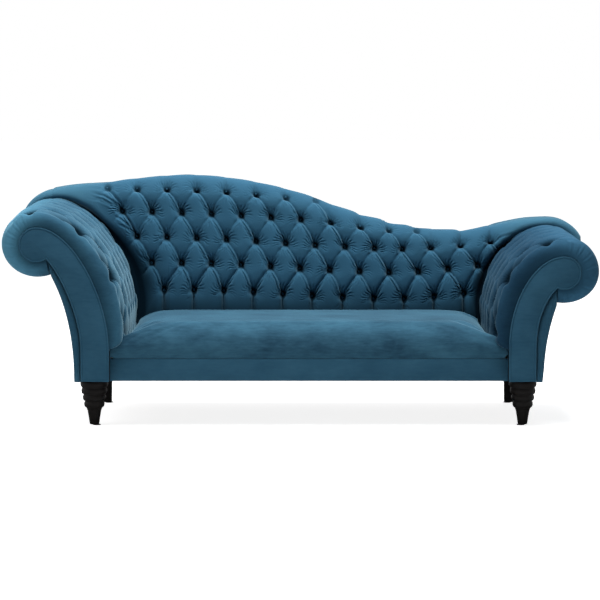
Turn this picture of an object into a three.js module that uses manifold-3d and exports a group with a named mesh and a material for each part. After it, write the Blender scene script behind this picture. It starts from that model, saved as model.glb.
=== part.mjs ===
// A button-tufted velvet fainting couch with one tall and one low scroll arm.
// Millimetres, +Z up, the front faces -Y, and the origin is on the floor under the middle of the couch.
import * as THREE from 'three';
import { mergeVertices } from 'three/addons/utils/BufferGeometryUtils.js';
import Module from 'manifold-3d';

const wasm = await Module();
wasm.setup();

// Places along the depth and the height that several pieces share.
const GAP = 0.5;
const FRONT = -395;
const FRAME_BOTTOM = 178;
const RAIL_TOP = 245;
const SEAM_HEIGHT = 254;
const PAD_BOTTOM = 260;
const SEAT_EDGE_FRONT = FRONT + 45;

// The back pad leans, and the outside back leans less.
const BACK_FACE_Y = 157;
const BACK_FACE_HEIGHT = 300;
const BACK_LEAN = 0.166;
const REAR_BOTTOM_Y = 355;
const REAR_LEAN = 0.0579;
const OUTSIDE_BACK = 12;
const BOARD = 22;
const FACING = 8;

// Tufting: the buttons stand on a diamond lattice.
const TUFT_PITCH = 118;
const TUFT_DEPTH = 28;
const ARM_ROW_GAP = 105;
const ARM_TUFT_DEPTH = 22;
const FIRST_ARM_COLUMN = FRONT + 120;
const FIRST_BUTTON_X = -767;
const ROW_STATIONS = [-770, -300, 100, 430, 760];
const ROW_HEIGHTS = [
  [860, 848, 803, 775, 790],
  [776, 758, 729, 692, 722],
  [676, 660, 634, 616, 654],
  [568, 562, 540, 531, 562],
  [466, 461, 437, 429, 460],
];

// The top edge of the back, from over the tall arm to over the low arm.
const BACK_TOP = [
  [-980, 858], [-799, 880], [-600, 902], [-440, 911], [-281, 898], [-122, 870], [38, 827],
  [237, 758], [400, 714], [569, 688], [697, 696], [834, 730], [980, 746],
];
const TOP_COVER = 46;
const TOP_RADIUS = 50;
const PAD_THICKNESS = 48;

// Each arm's section. The width is measured outwards from the middle of the couch.
const ARMS = {
  left: {
    side: -1, scrollU: 980, scrollZ: 688, boardRadius: 64, rollRadius: 129, underRadius: 117,
    cuspAngle: -125, tuckAngle: -112, shoulderRise: 0.6,
    boardInner: { handleTop: 135, u: 714, handle: 190, z: 300 },
    rollInner: { handleTop: 150, u: 655, handle: 205, z: 400 },
    boardOuter: { handle: [898, 590], u: 818, bendHandle: 130, z: 300 },
    coverOuter: { start: [937, 577], handle: [900, 505], bend: [858, 400], end: [848, 226], u: 845 },
    legU: 768, railU: 722, anchorRow: [818, 741],
  },
  right: {
    side: 1, scrollU: 980, scrollZ: 583, boardRadius: 61, rollRadius: 129, underRadius: 115,
    cuspAngle: -115, tuckAngle: -102, shoulderRise: 0.48,
    boardInner: { handleTop: 115, u: 777, handle: 150, z: 320 },
    rollInner: { handleTop: 135, u: 717, handle: 170, z: 400 },
    boardOuter: { handle: [920, 497], u: 877, bendHandle: 110, z: 310 },
    coverOuter: { start: [956, 468], handle: [938, 415], bend: [915, 340], end: [909, 227], u: 904 },
    legU: 830, railU: 784, anchorRow: [780, 554],
  },
};

// Shares of the padding between a scroll board and the outside of its roll.
const LINING = [-0.06, -0.012];
const BASE_FOAM = [0.02, 0.38];
const TUFTED_PAD = [0.4, 1];
const NECK_STEPS = 8;
// In front of this depth an arm's pad reaches down to its board, and behind it lies on the foam.
const PAD_NOSE_REAR = -315;
const SHOULDER_REACH = 1109;

// Legs.
const LEG_TOP = 177.5;
const FRONT_LEG_Y = FRONT + 105;
const REAR_LEG_Y = 308;
const GLIDE = 3;
const REAR_LEG_TOP_WIDTH = 52;
const REAR_LEG_WIDTH = 46;
const REAR_LEG_FOOT = 38;
const BLOCK_TOP = 218;

const couch = new THREE.Group();

const velvet = { color: 0x1f5670, roughness: 0.8, metalness: 0 };
const finishes = {
  velvet,
  beech: { color: 0xb98a55, roughness: 0.6, metalness: 0 },
  plywood: { color: 0xc9a26b, roughness: 0.65, metalness: 0 },
  foam: { color: 0xe6dfc8, roughness: 0.95, metalness: 0 },
  hessian: { color: 0xa58a5c, roughness: 0.95, metalness: 0 },
  steel: { color: 0x8c8f92, roughness: 0.35, metalness: 1 },
  blackWood: { color: 0x0d0b0a, roughness: 0.4, metalness: 0 },
  cambric: { color: 0x17171a, roughness: 0.9, metalness: 0 },
  felt: { color: 0x3a332c, roughness: 0.95, metalness: 0 },
};

function addPiece(name, geometry, finish) {
  const mesh = new THREE.Mesh(geometry, new THREE.MeshStandardMaterial(finishes[finish]));
  mesh.name = name;
  couch.add(mesh);
}

// Eases from 0 at the first edge to 1 at the second, in either direction.
function smooth(edge0, edge1, value) {
  const t = THREE.MathUtils.clamp((value - edge0) / (edge1 - edge0), 0, 1);
  return t * t * (3 - 2 * t);
}

// Manifold booleans on three.js geometry.
function bareGeometry(geometry) {
  const bare = geometry.clone();
  bare.deleteAttribute('normal');
  bare.deleteAttribute('uv');
  return mergeVertices(bare, 1e-3);
}

function toSolid(geometry) {
  const bare = bareGeometry(geometry);
  return new wasm.Manifold(new wasm.Mesh({
    numProp: 3,
    vertProperties: new Float32Array(bare.attributes.position.array),
    triVerts: new Uint32Array(bare.index.array),
  }));
}

function fromSolid(solid) {
  const mesh = solid.getMesh();
  const geometry = new THREE.BufferGeometry();
  geometry.setAttribute('position', new THREE.BufferAttribute(mesh.vertProperties, 3));
  geometry.setIndex(new THREE.BufferAttribute(mesh.triVerts, 1));
  return geometry;
}

function cutFrom(geometry, cutters) {
  let solid = toSolid(geometry);
  for (const cutter of cutters) {
    solid = solid.subtract(toSolid(cutter));
  }
  return fromSolid(solid);
}

function joinAll(geometries) {
  let solid = toSolid(geometries[0]);
  for (const geometry of geometries.slice(1)) {
    solid = solid.add(toSolid(geometry));
  }
  return fromSolid(solid);
}

// The same solid with its surface moved outwards, to cut room for it from its neighbours.
function swollen(geometry, distance) {
  const bare = bareGeometry(geometry);
  bare.computeVertexNormals();
  const { position, normal } = bare.attributes;
  for (let i = 0; i < position.count; i += 1) {
    position.setXYZ(
      i,
      position.getX(i) + distance * normal.getX(i),
      position.getY(i) + distance * normal.getY(i),
      position.getZ(i) + distance * normal.getZ(i),
    );
  }
  return bare;
}

// A box given by its lowest and highest corners.
function block(low, high) {
  const size = high.map((value, axis) => value - low[axis]);
  const geometry = new THREE.BoxGeometry(...size);
  geometry.translate((low[0] + high[0]) / 2, (low[1] + high[1]) / 2, (low[2] + high[2]) / 2);
  return geometry;
}

// A box beside an arm, its width given outwards from the middle of the couch.
function armBlock(arm, [u0, u1], [y0, y1], [z0, z1]) {
  const sides = [arm.side * u0, arm.side * u1].sort((a, b) => a - b);
  return block([sides[0], y0, z0], [sides[1], y1, z1]);
}

// A slab from an outline in X and Z, its front at the given Y, leaning back with height.
function slab(outline, front, thickness, lean = 0, bevel = 0) {
  const shape = new THREE.Shape(outline.map(([x, z]) => new THREE.Vector2(x, z)));
  const geometry = new THREE.ExtrudeGeometry(shape, {
    depth: thickness - 2 * bevel, bevelEnabled: bevel > 0, bevelThickness: bevel,
    bevelSize: bevel, bevelOffset: -bevel, bevelSegments: 1, curveSegments: 1,
  });
  // The outline's height becomes Z, and the extrusion runs towards +Y.
  geometry.rotateX(Math.PI / 2);
  geometry.translate(0, front + thickness - bevel, 0);
  geometry.applyMatrix4(new THREE.Matrix4().set(1, 0, 0, 0, 0, 1, lean, 0, 0, 0, 1, 0, 0, 0, 0, 1));
  return geometry;
}

// A closed solid through rings of points, the first and the last ring capped.
function ringSolid(rings, capOutlines) {
  const count = rings[0].length;
  const points = rings.flat();
  const positions = points.flatMap((point) => [point.x, point.y, point.z]);
  const index = [];
  for (let ring = 0; ring + 1 < rings.length; ring += 1) {
    for (let i = 0; i < count; i += 1) {
      const a = ring * count + i;
      const b = ring * count + ((i + 1) % count);
      // The shorter diagonal keeps a fold's crease sharp.
      if (points[b].distanceTo(points[a + count]) <= points[a].distanceTo(points[b + count])) {
        index.push(a, b, a + count, b, b + count, a + count);
      } else {
        index.push(a, b, b + count, a, b + count, a + count);
      }
    }
  }
  const caps = [
    { outline: capOutlines[0], offset: 0, flip: true },
    { outline: capOutlines[1], offset: (rings.length - 1) * count, flip: false },
  ];
  for (const { outline, offset, flip } of caps) {
    for (const triangle of THREE.ShapeUtils.triangulateShape(outline, [])) {
      // In rising order a triangle turns the same way as its ring.
      const [a, b, c] = [...triangle].sort((first, second) => first - second);
      const corners = flip ? [a, c, b] : [a, b, c];
      index.push(...corners.map((corner) => corner + offset));
    }
  }
  const geometry = new THREE.BufferGeometry();
  geometry.setAttribute('position', new THREE.Float32BufferAttribute(positions, 3));
  geometry.setIndex(index);
  return facingOut(geometry);
}

// Turns every triangle over where the solid is inside out.
function facingOut(geometry) {
  const position = geometry.attributes.position;
  const index = geometry.index.array;
  const corner = [new THREE.Vector3(), new THREE.Vector3(), new THREE.Vector3()];
  let volume = 0;
  for (let i = 0; i < index.length; i += 3) {
    corner.forEach((vertex, k) => vertex.fromBufferAttribute(position, index[i + k]));
    volume += corner[0].dot(corner[1].clone().cross(corner[2]));
  }
  if (volume < 0) {
    for (let i = 0; i < index.length; i += 3) {
      [index[i + 1], index[i + 2]] = [index[i + 2], index[i + 1]];
    }
  }
  return geometry;
}

// The lines of an arm's section: round the scroll, down the neck, then straight down.
function scrollLine(arm, radius, startAngle, underRadius, inner) {
  const top = [arm.scrollU, arm.scrollZ + radius];
  const neck = new THREE.CubicBezierCurve(
    new THREE.Vector2(...top),
    new THREE.Vector2(top[0] - inner.handleTop, top[1]),
    new THREE.Vector2(inner.u, inner.z + inner.handle),
    new THREE.Vector2(inner.u, inner.z),
  );
  return (part, t, bottom) => {
    if (part === 0) {
      const angle = THREE.MathUtils.degToRad(startAngle + (90 - startAngle) * t);
      const under = Math.max(0, -Math.sin(angle)) ** 2;
      const reach = radius + (underRadius - radius) * under;
      return new THREE.Vector2(
        arm.scrollU + reach * Math.cos(angle),
        arm.scrollZ + reach * Math.sin(angle),
      );
    }
    if (part === 1) {
      return neck.getPoint(t);
    }
    return new THREE.Vector2(inner.u, THREE.MathUtils.lerp(inner.z, bottom, t));
  };
}

function armLines(arm) {
  return {
    board: scrollLine(arm, arm.boardRadius, arm.cuspAngle, arm.boardRadius, arm.boardInner),
    roll: scrollLine(arm, arm.rollRadius, arm.tuckAngle, arm.underRadius, arm.rollInner),
  };
}

// A point of the arm's section, at a share of the way from its board to the outside of its roll.
function armPoint(arm, part, t, share, bottom = PAD_BOTTOM) {
  const { board, roll } = armLines(arm);
  return board(part, t, bottom).lerp(roll(part, t, bottom), share);
}

// The scroll boards' outer edge, from the cusp under the scroll down to the frame.
function boardOuterEdge(arm) {
  const cusp = armLines(arm).board(0, 0, 0);
  const outer = arm.boardOuter;
  const curve = new THREE.CubicBezierCurve(
    cusp,
    new THREE.Vector2(...outer.handle),
    new THREE.Vector2(outer.u, outer.z + outer.bendHandle),
    new THREE.Vector2(outer.u, outer.z),
  );
  return [...curve.getPoints(8), new THREE.Vector2(outer.u, FRAME_BOTTOM)];
}

// The outside cover's edge, from under the roll down to the frame.
function coverOuterEdge(arm) {
  const cover = arm.coverOuter;
  const curve = new THREE.CubicBezierCurve(
    new THREE.Vector2(...cover.start),
    new THREE.Vector2(...cover.handle),
    new THREE.Vector2(...cover.bend),
    new THREE.Vector2(...cover.end),
  );
  return [...curve.getPoints(8), new THREE.Vector2(cover.u, FRAME_BOTTOM)];
}

// The outline of a scroll board or facing, shrunk a little by a negative share.
function boardOutline(arm, share, bottom, outerInset) {
  const points = [];
  for (let i = 0; i <= 14; i += 1) {
    points.push(armPoint(arm, 0, i / 14, share));
  }
  for (let i = 1; i <= 10; i += 1) {
    points.push(armPoint(arm, 1, i / 10, share));
  }
  points.push(new THREE.Vector2(points.at(-1).x, bottom));
  const outer = boardOuterEdge(arm).map((point) => new THREE.Vector2(point.x - outerInset, point.y));
  outer.at(-1).y = bottom;
  points.push(...outer.reverse().slice(0, -1));
  return points.map((point) => [arm.side * point.x, point.y]);
}

// Stations along an arm's section line, each with its part, its place in the part and its length so far.
function armStations(arm, counts) {
  const stations = [];
  let length = 0;
  let last = null;
  counts.forEach((count, part) => {
    for (let i = part === 0 ? 0 : 1; i <= count; i += 1) {
      const point = armPoint(arm, part, i / count, 1);
      length += last ? point.distanceTo(last) : 0;
      last = point;
      stations.push({ part, t: i / count, point, length });
    }
  });
  return stations;
}

// How far the cover swells between buttons: 0 on a pleat and 1 in the middle of a diamond.
function tuftSwell(column, row) {
  const first = Math.abs(Math.sin(Math.PI * (column + row / 2)));
  const second = Math.abs(Math.sin(Math.PI * (column - row / 2)));
  return Math.sqrt(first * second);
}

function frontFaceY(z) {
  return BACK_FACE_Y + BACK_LEAN * (z - BACK_FACE_HEIGHT);
}

function rearFaceY(z) {
  return REAR_BOTTOM_Y + REAR_LEAN * (z - FRAME_BOTTOM);
}

const backTopCurve = new THREE.SplineCurve(BACK_TOP.map(([x, z]) => new THREE.Vector2(x, z)));
const backTopPoints = backTopCurve.getPoints(240);

function backTopHeight(x) {
  const next = backTopPoints.findIndex((point) => point.x >= x);
  if (next <= 0) {
    return next === 0 ? backTopPoints[0].y : backTopPoints.at(-1).y;
  }
  const [a, b] = [backTopPoints[next - 1], backTopPoints[next]];
  return THREE.MathUtils.lerp(a.y, b.y, (x - a.x) / (b.x - a.x));
}

const rowCurves = ROW_HEIGHTS.map((heights) => new THREE.SplineCurve(
  heights.map((z, i) => new THREE.Vector2(ROW_STATIONS[i], z)),
).getPoints(60));

function rowHeight(row, x) {
  const points = rowCurves[row];
  const next = points.findIndex((point) => point.x >= x);
  if (next <= 0) {
    return next === 0 ? points[0].y : points.at(-1).y;
  }
  const [a, b] = [points[next - 1], points[next]];
  return THREE.MathUtils.lerp(a.y, b.y, (x - a.x) / (b.x - a.x));
}

// The row number at a place on the back, counted down from 0 at the top row.
function rowAt(x, z) {
  const heights = rowCurves.map((_, row) => rowHeight(row, x));
  const lowest = heights.length - 1;
  for (let row = 0; row < lowest; row += 1) {
    if (z >= heights[row + 1]) {
      return row + (heights[row] - z) / (heights[row] - heights[row + 1]);
    }
  }
  return lowest;
}

function backSwell(x, z) {
  const row = rowAt(x, z);
  const column = (x - FIRST_BUTTON_X) / TUFT_PITCH;
  const leftEdge = FIRST_BUTTON_X + (row * TUFT_PITCH) / 2;
  const rightEdge = 760 - Math.abs(row - 2) * (TUFT_PITCH / 2);
  const plain = Math.max(smooth(leftEdge - 30, leftEdge - 90, x), smooth(rightEdge + 30, rightEdge + 90, x));
  return THREE.MathUtils.lerp(tuftSwell(column, row), 0.6, plain);
}

// Seat frame, springs and seat.
function addSeatFrame() {
  const { left, right } = ARMS;
  const railThickness = 25;
  const leftInner = -left.railU + GAP;
  const rightInner = right.railU - GAP;
  const frontRailY = SEAT_EDGE_FRONT + 10;
  const backRail = { front: 230, rear: 270 };
  const tackingRail = { front: 318, rear: 338 };
  addPiece('front_seat_rail', block(
    [leftInner, frontRailY, FRAME_BOTTOM], [rightInner, frontRailY + railThickness, RAIL_TOP],
  ), 'beech');
  addPiece('back_seat_rail', block(
    [leftInner, backRail.front, FRAME_BOTTOM], [rightInner, backRail.rear, RAIL_TOP],
  ), 'beech');
  addPiece('rear_tacking_rail', block(
    [-left.boardInner.u + 2, tackingRail.front, FRAME_BOTTOM],
    [right.boardInner.u - 2, tackingRail.rear, RAIL_TOP],
  ), 'beech');
  for (const [name, arm] of Object.entries(ARMS)) {
    addPiece(`${name}_seat_rail`, armBlock(
      arm, [arm.railU, arm.railU + railThickness],
      [FRONT + FACING + BOARD + 1, REAR_BOTTOM_Y - OUTSIDE_BACK - BOARD - 2], [FRAME_BOTTOM, RAIL_TOP],
    ), 'beech');
  }
  const crossY = [frontRailY + railThickness + GAP, backRail.front - GAP];
  const middle = (leftInner + rightInner) / 2;
  addPiece('middle_cross_rail', block(
    [middle - 22, crossY[0], FRAME_BOTTOM], [middle + 22, crossY[1], RAIL_TOP - 20],
  ), 'beech');
  addPiece('dust_cover', block(
    [leftInner + 30, frontRailY + 4, FRAME_BOTTOM - 1.6],
    [rightInner - 30, tackingRail.rear - 4, FRAME_BOTTOM - 0.4],
  ), 'cambric');
}

// One zigzag spring wire, bent flat, from the front rail to the back rail.
function springWire(x, y0, y1, height) {
  const bends = 12;
  const halfWidth = 24;
  const points = [];
  for (let i = 0; i <= bends; i += 1) {
    const y = y0 + ((y1 - y0) * i) / bends;
    const side = i === 0 || i === bends ? 0 : halfWidth * (i % 2 === 0 ? 1 : -1);
    points.push(new THREE.Vector3(x + side, y, height + 4 * Math.sin((Math.PI * i) / bends)));
  }
  return tubeAlong(new THREE.CatmullRomCurve3(points), 2, 24, 4);
}

function tubeAlong(curve, radius, steps, sides) {
  const section = new THREE.Shape();
  for (let i = 0; i < sides; i += 1) {
    const angle = (2 * Math.PI * (i + 0.5)) / sides;
    const corner = [radius * Math.cos(angle), radius * Math.sin(angle)];
    if (i === 0) {
      section.moveTo(...corner);
    } else {
      section.lineTo(...corner);
    }
  }
  return new THREE.ExtrudeGeometry(section, { steps, extrudePath: curve, bevelEnabled: false });
}

function addSprings() {
  const springs = 8;
  const height = RAIL_TOP + 3.5;
  const [y0, y1] = [SEAT_EDGE_FRONT + 14, 264];
  const wires = [];
  const places = [];
  for (let i = 0; i < springs; i += 1) {
    places.push(-590 + (1242 * i) / (springs - 1));
  }
  places.forEach((x) => wires.push(springWire(x, y0, y1, height)));
  // Two tie wires cross every spring and are clipped to it.
  for (const share of [0.375, 0.625]) {
    const y = THREE.MathUtils.lerp(y0, y1, share);
    const z = height + 4 * Math.sin(Math.PI * share);
    const tie = new THREE.LineCurve3(
      new THREE.Vector3(places[0] - 30, y, z), new THREE.Vector3(places.at(-1) + 30, y, z),
    );
    wires.push(tubeAlong(tie, 1.8, 1, 6));
  }
  addPiece('seat_spring_set', joinAll(wires), 'steel');
  addPiece('seat_hessian', block([-640, -322, 256], [702, 222, 258]), 'hessian');
  addPiece('seat_foam', block([-638, -322, 259], [700, 142, 328]), 'foam');
}

// The seat's section at one place along its length: down the front, over the top and back underneath.
const SEAT = {
  left: -643, right: 705, frontLeft: -710, frontRight: 773, crown: 391, edge: 352, frontEdge: 288,
  bulge: 17, frontRadius: 66,
};

function seatSection(place) {
  const crown = (1 - Math.abs(place) ** 5) ** 0.5;
  const points = [];
  const add = (y, zHigh, zLow) => {
    const widen = smooth(-322, -348, y);
    const left = THREE.MathUtils.lerp(SEAT.left, SEAT.frontLeft, widen);
    const right = THREE.MathUtils.lerp(SEAT.right, SEAT.frontRight, widen);
    const x = THREE.MathUtils.mapLinear(place, -1, 1, left, right);
    points.push(new THREE.Vector3(x, y, THREE.MathUtils.lerp(zLow, zHigh, crown)));
  };
  const { frontRadius: radius, bulge } = SEAT;
  add(SEAT_EDGE_FRONT + 1, SEAM_HEIGHT + 1, SEAM_HEIGHT + 1);
  add(SEAT_EDGE_FRONT - bulge * 0.7, SEAM_HEIGHT + 14, SEAM_HEIGHT + 8);
  add(SEAT_EDGE_FRONT - bulge, SEAM_HEIGHT + 44, SEAM_HEIGHT + 18);
  for (let i = 0; i <= 4; i += 1) {
    const angle = (Math.PI / 2) * (i / 4);
    const y = SEAT_EDGE_FRONT - bulge + 2 + radius * (1 - Math.cos(angle));
    const high = SEAT.crown - 8 - radius * (1 - Math.sin(angle));
    const low = THREE.MathUtils.lerp(SEAT.frontEdge - 8, SEAT.edge, smooth(-360, -318, y));
    add(y, high, low);
  }
  for (let i = 1; i <= 6; i += 1) {
    const share = i / 6;
    const y = THREE.MathUtils.lerp(-298, 160, share);
    const swell = 8 * Math.sin(Math.PI * Math.min(1, share * 0.9 + 0.1));
    add(y, SEAT.crown - 8 + swell - 10 * share ** 4, SEAT.edge);
  }
  add(151, 340, 332);
  add(143, 330, 330);
  add(-325, 330, 330);
  add(-325, 275, 275);
  add(SEAT_EDGE_FRONT + 12, SEAM_HEIGHT + 2, SEAM_HEIGHT + 2);
  return points;
}

function seatGeometry() {
  const stations = 30;
  const rings = [];
  for (let i = 0; i <= stations; i += 1) {
    // The stations crowd towards the ends, where the crown falls away.
    const place = Math.sin((Math.PI / 2) * THREE.MathUtils.mapLinear(i, 0, stations, -1, 1));
    rings.push(seatSection(place));
  }
  const capOf = (ring) => ring.map((point) => new THREE.Vector2(point.y, point.z));
  return ringSolid(rings, [capOf(rings[0]), capOf(rings.at(-1))]);
}

function addSeat() {
  addPiece('seat_pad', seatGeometry(), 'velvet');
  addPiece('front_apron', block(
    [-711, SEAT_EDGE_FRONT, FRAME_BOTTOM - 1], [774, SEAT_EDGE_FRONT + 9, SEAM_HEIGHT - 1],
  ), 'velvet');
}

// A layer of padding round an arm, between two shares, from one depth to the back pad or the rear board.
function armLayer(arm, [inner, outer], counts, frontY, rearY) {
  const rings = armStations(arm, counts).map(({ part, t }) => {
    const near = armPoint(arm, part, t, inner);
    const far = armPoint(arm, part, t, outer);
    const corners = [[near, frontY], [far, frontY], [far, rearY(far.y)], [near, rearY(near.y)]];
    return corners.map(([point, y]) => new THREE.Vector3(arm.side * point.x, y, point.y));
  });
  const cap = [[0, 0], [1, 0], [1, 1], [0, 1]].map(([x, y]) => new THREE.Vector2(x, y));
  return ringSolid(rings, [cap, cap]);
}

// The tufted pad of an arm, rounded over at the front to meet the facing.
function armPadGeometry(arm) {
  const [inner] = TUFTED_PAD;
  const roundOver = 64;
  const frontY = FRONT + 4;
  const columns = 18;
  const lengths = armStations(arm, [14, 9, 3]);
  const anchor = new THREE.Vector2(...arm.anchorRow);
  const anchorLength = lengths.reduce((best, station) => (
    station.point.distanceTo(anchor) < best.point.distanceTo(anchor) ? station : best)).length;
  const capOutline = [];
  const rings = lengths.map(({ part, t, point, length }, stationIndex) => {
    const ring = [];
    const add = (share, y) => {
      const place = armPoint(arm, part, t, share);
      ring.push(new THREE.Vector3(arm.side * place.x, y, place.y));
      if (stationIndex === 0) {
        capOutline.push(new THREE.Vector2(share, y / 100));
      }
    };
    const row = (length - anchorLength) / ARM_ROW_GAP;
    const rollWidth = arm.rollRadius - arm.boardRadius;
    const tufted = smooth(-3.6, -2.8, row) * (1 - smooth(PAD_BOTTOM + 110, PAD_BOTTOM + 40, point.y));
    const rearY = (share) => frontFaceY(armPoint(arm, part, t, share).y) - 2;
    add(0.03, frontY);
    for (let i = 1; i <= 4; i += 1) {
      const angle = (Math.PI / 2) * (i / 4);
      add(THREE.MathUtils.lerp(0.03, 1, Math.sin(angle)), frontY + roundOver * (1 - Math.cos(angle)));
    }
    for (let i = 1; i <= columns; i += 1) {
      const y = THREE.MathUtils.lerp(frontY + roundOver, rearY(1), i / columns);
      const swell = tuftSwell((y - FIRST_ARM_COLUMN) / TUFT_PITCH, row);
      const strength = tufted * smooth(frontY + roundOver - 20, frontY + roundOver + 30, y);
      const lift = (swell - 0.45) * strength * ARM_TUFT_DEPTH;
      add(1 + lift / rollWidth, y);
    }
    add(inner, rearY(inner));
    add(inner, PAD_NOSE_REAR);
    add(0.03, PAD_NOSE_REAR);
    return ring;
  });
  return ringSolid(rings, [capOutline, capOutline]);
}

// The outside cover of an arm: a padded panel with a rounded front edge.
function outsideCover(arm) {
  const inner = boardOuterEdge(arm);
  const outer = coverOuterEdge(arm);
  const rear = (place) => rearFaceY(place.y) - OUTSIDE_BACK - GAP;
  const rings = inner.map((point, i) => {
    // The top end stays clear of the roll that it tucks under.
    const tuck = i === 0 ? 4 : 0;
    const near = point.clone().lerp(outer[i], 0.05).add(new THREE.Vector2(-tuck, -tuck - 1));
    const far = outer[i].clone().add(new THREE.Vector2(-tuck, 0));
    const mid = near.clone().lerp(far, 0.7);
    return [[near, FRONT + 28], [mid, FRONT + 28], [far, FRONT + 36], [far, rear(far)], [near, rear(near)]]
      .map(([place, y]) => new THREE.Vector3(arm.side * place.x, y, place.y));
  });
  const cap = [[0, 0], [0.7, 0], [1, 0.2], [1, 1], [0, 1]].map(([x, y]) => new THREE.Vector2(x, y));
  return ringSolid(rings, [cap, cap]);
}

function addArm(name, arm, seat) {
  const seatRoom = [seat, seat.clone().translate(3 * arm.side, 0, 0)];
  const rearBoardFront = (z) => rearFaceY(z) - OUTSIDE_BACK - BOARD - GAP;
  const frontBoardRear = FRONT + FACING + GAP + BOARD;
  const outline = boardOutline(arm, -0.01, FRAME_BOTTOM, 1);
  addPiece(`${name}_arm_facing`, slab(boardOutline(arm, 0, FRAME_BOTTOM - 1, 0), FRONT, FACING, 0, 3), 'velvet');
  addPiece(`${name}_arm_front_board`, slab(outline, FRONT + FACING + GAP, BOARD), 'plywood');
  const rearBoardStart = rearBoardFront(0);
  addPiece(`${name}_arm_rear_board`, slab(outline, rearBoardStart, BOARD, REAR_LEAN), 'plywood');
  const railEnds = [frontBoardRear + GAP, REAR_BOTTOM_Y - OUTSIDE_BACK - BOARD - 2];
  addPiece(`${name}_arm_scroll_rail`, armBlock(
    arm, [arm.scrollU - 22, arm.scrollU + 22], railEnds, [arm.scrollZ - 22, arm.scrollZ + 22],
  ), 'beech');
  const lowerU = arm.boardInner.u + 8;
  addPiece(`${name}_arm_tacking_rail`, armBlock(
    arm, [lowerU, lowerU + 25], railEnds, [PAD_BOTTOM + 2, PAD_BOTTOM + 50],
  ), 'beech');
  const layerCounts = [12, NECK_STEPS, 1];
  addPiece(`${name}_arm_lining`, armLayer(
    arm, LINING, layerCounts, frontBoardRear + GAP, (z) => rearBoardFront(z) - GAP,
  ), 'hessian');
  addPiece(`${name}_arm_foam`, armLayer(
    arm, BASE_FOAM, layerCounts, PAD_NOSE_REAR + 1, (z) => rearBoardFront(z) - GAP,
  ), 'foam');
  addPiece(`${name}_arm_pad`, cutFrom(armPadGeometry(arm), seatRoom), 'velvet');
  addPiece(`${name}_arm_outside_cover`, outsideCover(arm), 'velvet');
}

// The back pad's section between a lower point and the top edge, at one station.
function backSection(low, top, levels) {
  const height = top.distanceTo(low);
  const along = (distance) => low.clone().lerp(top, distance / height);
  const ring = [];
  const outline = [];
  const radius = Math.min(TOP_RADIUS, height * 0.6);
  const underTop = Math.min(TOP_COVER, height * 0.7);
  const add = (distance, offset, fromRear = false) => {
    const place = along(distance);
    const y = fromRear ? rearFaceY(place.y) - offset : frontFaceY(place.y) + offset;
    ring.push(new THREE.Vector3(place.x, y, place.y));
    outline.push(new THREE.Vector2(distance, fromRear ? 250 - offset : offset));
  };
  const sunk = (distance) => {
    const place = along(distance);
    return TUFT_DEPTH * (1 - backSwell(place.x, place.y));
  };
  // Rows that the top edge or the arm cuts off crowd together just inside the section.
  const span = height - radius;
  const crowding = 0.02 * span;
  levels.forEach((z, i) => {
    const highest = span - crowding * (levels.length - 1 - i);
    const distance = THREE.MathUtils.clamp(z - low.y, crowding * i, highest);
    add(distance, sunk(distance));
  });
  for (const degrees of [45, 90]) {
    const angle = THREE.MathUtils.degToRad(degrees);
    const distance = height - radius * (1 - Math.sin(angle));
    const flatten = 1 - degrees / 90;
    add(distance, sunk(distance) * flatten + radius * (1 - Math.cos(angle)));
  }
  add(height - 8, 22, true);
  add(height - underTop, 0, true);
  add(height - underTop, PAD_THICKNESS);
  add(0, PAD_THICKNESS);
  return { ring, outline };
}

// Levels up the back that fall on the button rows and half way between them.
function backLevels(x) {
  const levels = [PAD_BOTTOM, PAD_BOTTOM + 100];
  for (let half = 8; half >= -1; half -= 1) {
    const row = half / 2;
    if (row < 0) {
      levels.push(rowHeight(0, x) + 40);
    } else {
      const upper = rowHeight(Math.floor(row), x);
      const lower = rowHeight(Math.ceil(row), x);
      levels.push((upper + lower) / 2);
    }
  }
  return levels;
}

function backPadGeometry() {
  const stations = [];
  const addNeck = (arm, order) => {
    const neck = [];
    for (let i = 0; i <= NECK_STEPS; i += 1) {
      neck.push({ part: 1, t: i / NECK_STEPS, inward: 0 });
    }
    neck.push({ part: 2, t: 1, inward: 8 });
    for (const { part, t, inward } of order(neck)) {
      const low = armPoint(arm, part, t, BASE_FOAM[1] + 0.02);
      low.x *= arm.side;
      const topX = low.x - arm.side * inward;
      stations.push([low, new THREE.Vector2(topX, backTopHeight(topX))]);
    }
  };
  addNeck(ARMS.left, (list) => list);
  const first = stations.at(-1)[1].x;
  const columnStep = TUFT_PITCH / 4;
  for (let x = FIRST_BUTTON_X + 4 * columnStep; x < 738; x += columnStep) {
    if (x > first + 12) {
      stations.push([new THREE.Vector2(x, PAD_BOTTOM), new THREE.Vector2(x, backTopHeight(x))]);
    }
  }
  addNeck(ARMS.right, (list) => list.reverse());
  const sections = stations.map(([low, top]) => backSection(low, top, backLevels(top.x)));
  return ringSolid(
    sections.map(({ ring }) => ring), [sections[0].outline, sections.at(-1).outline],
  );
}

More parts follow.
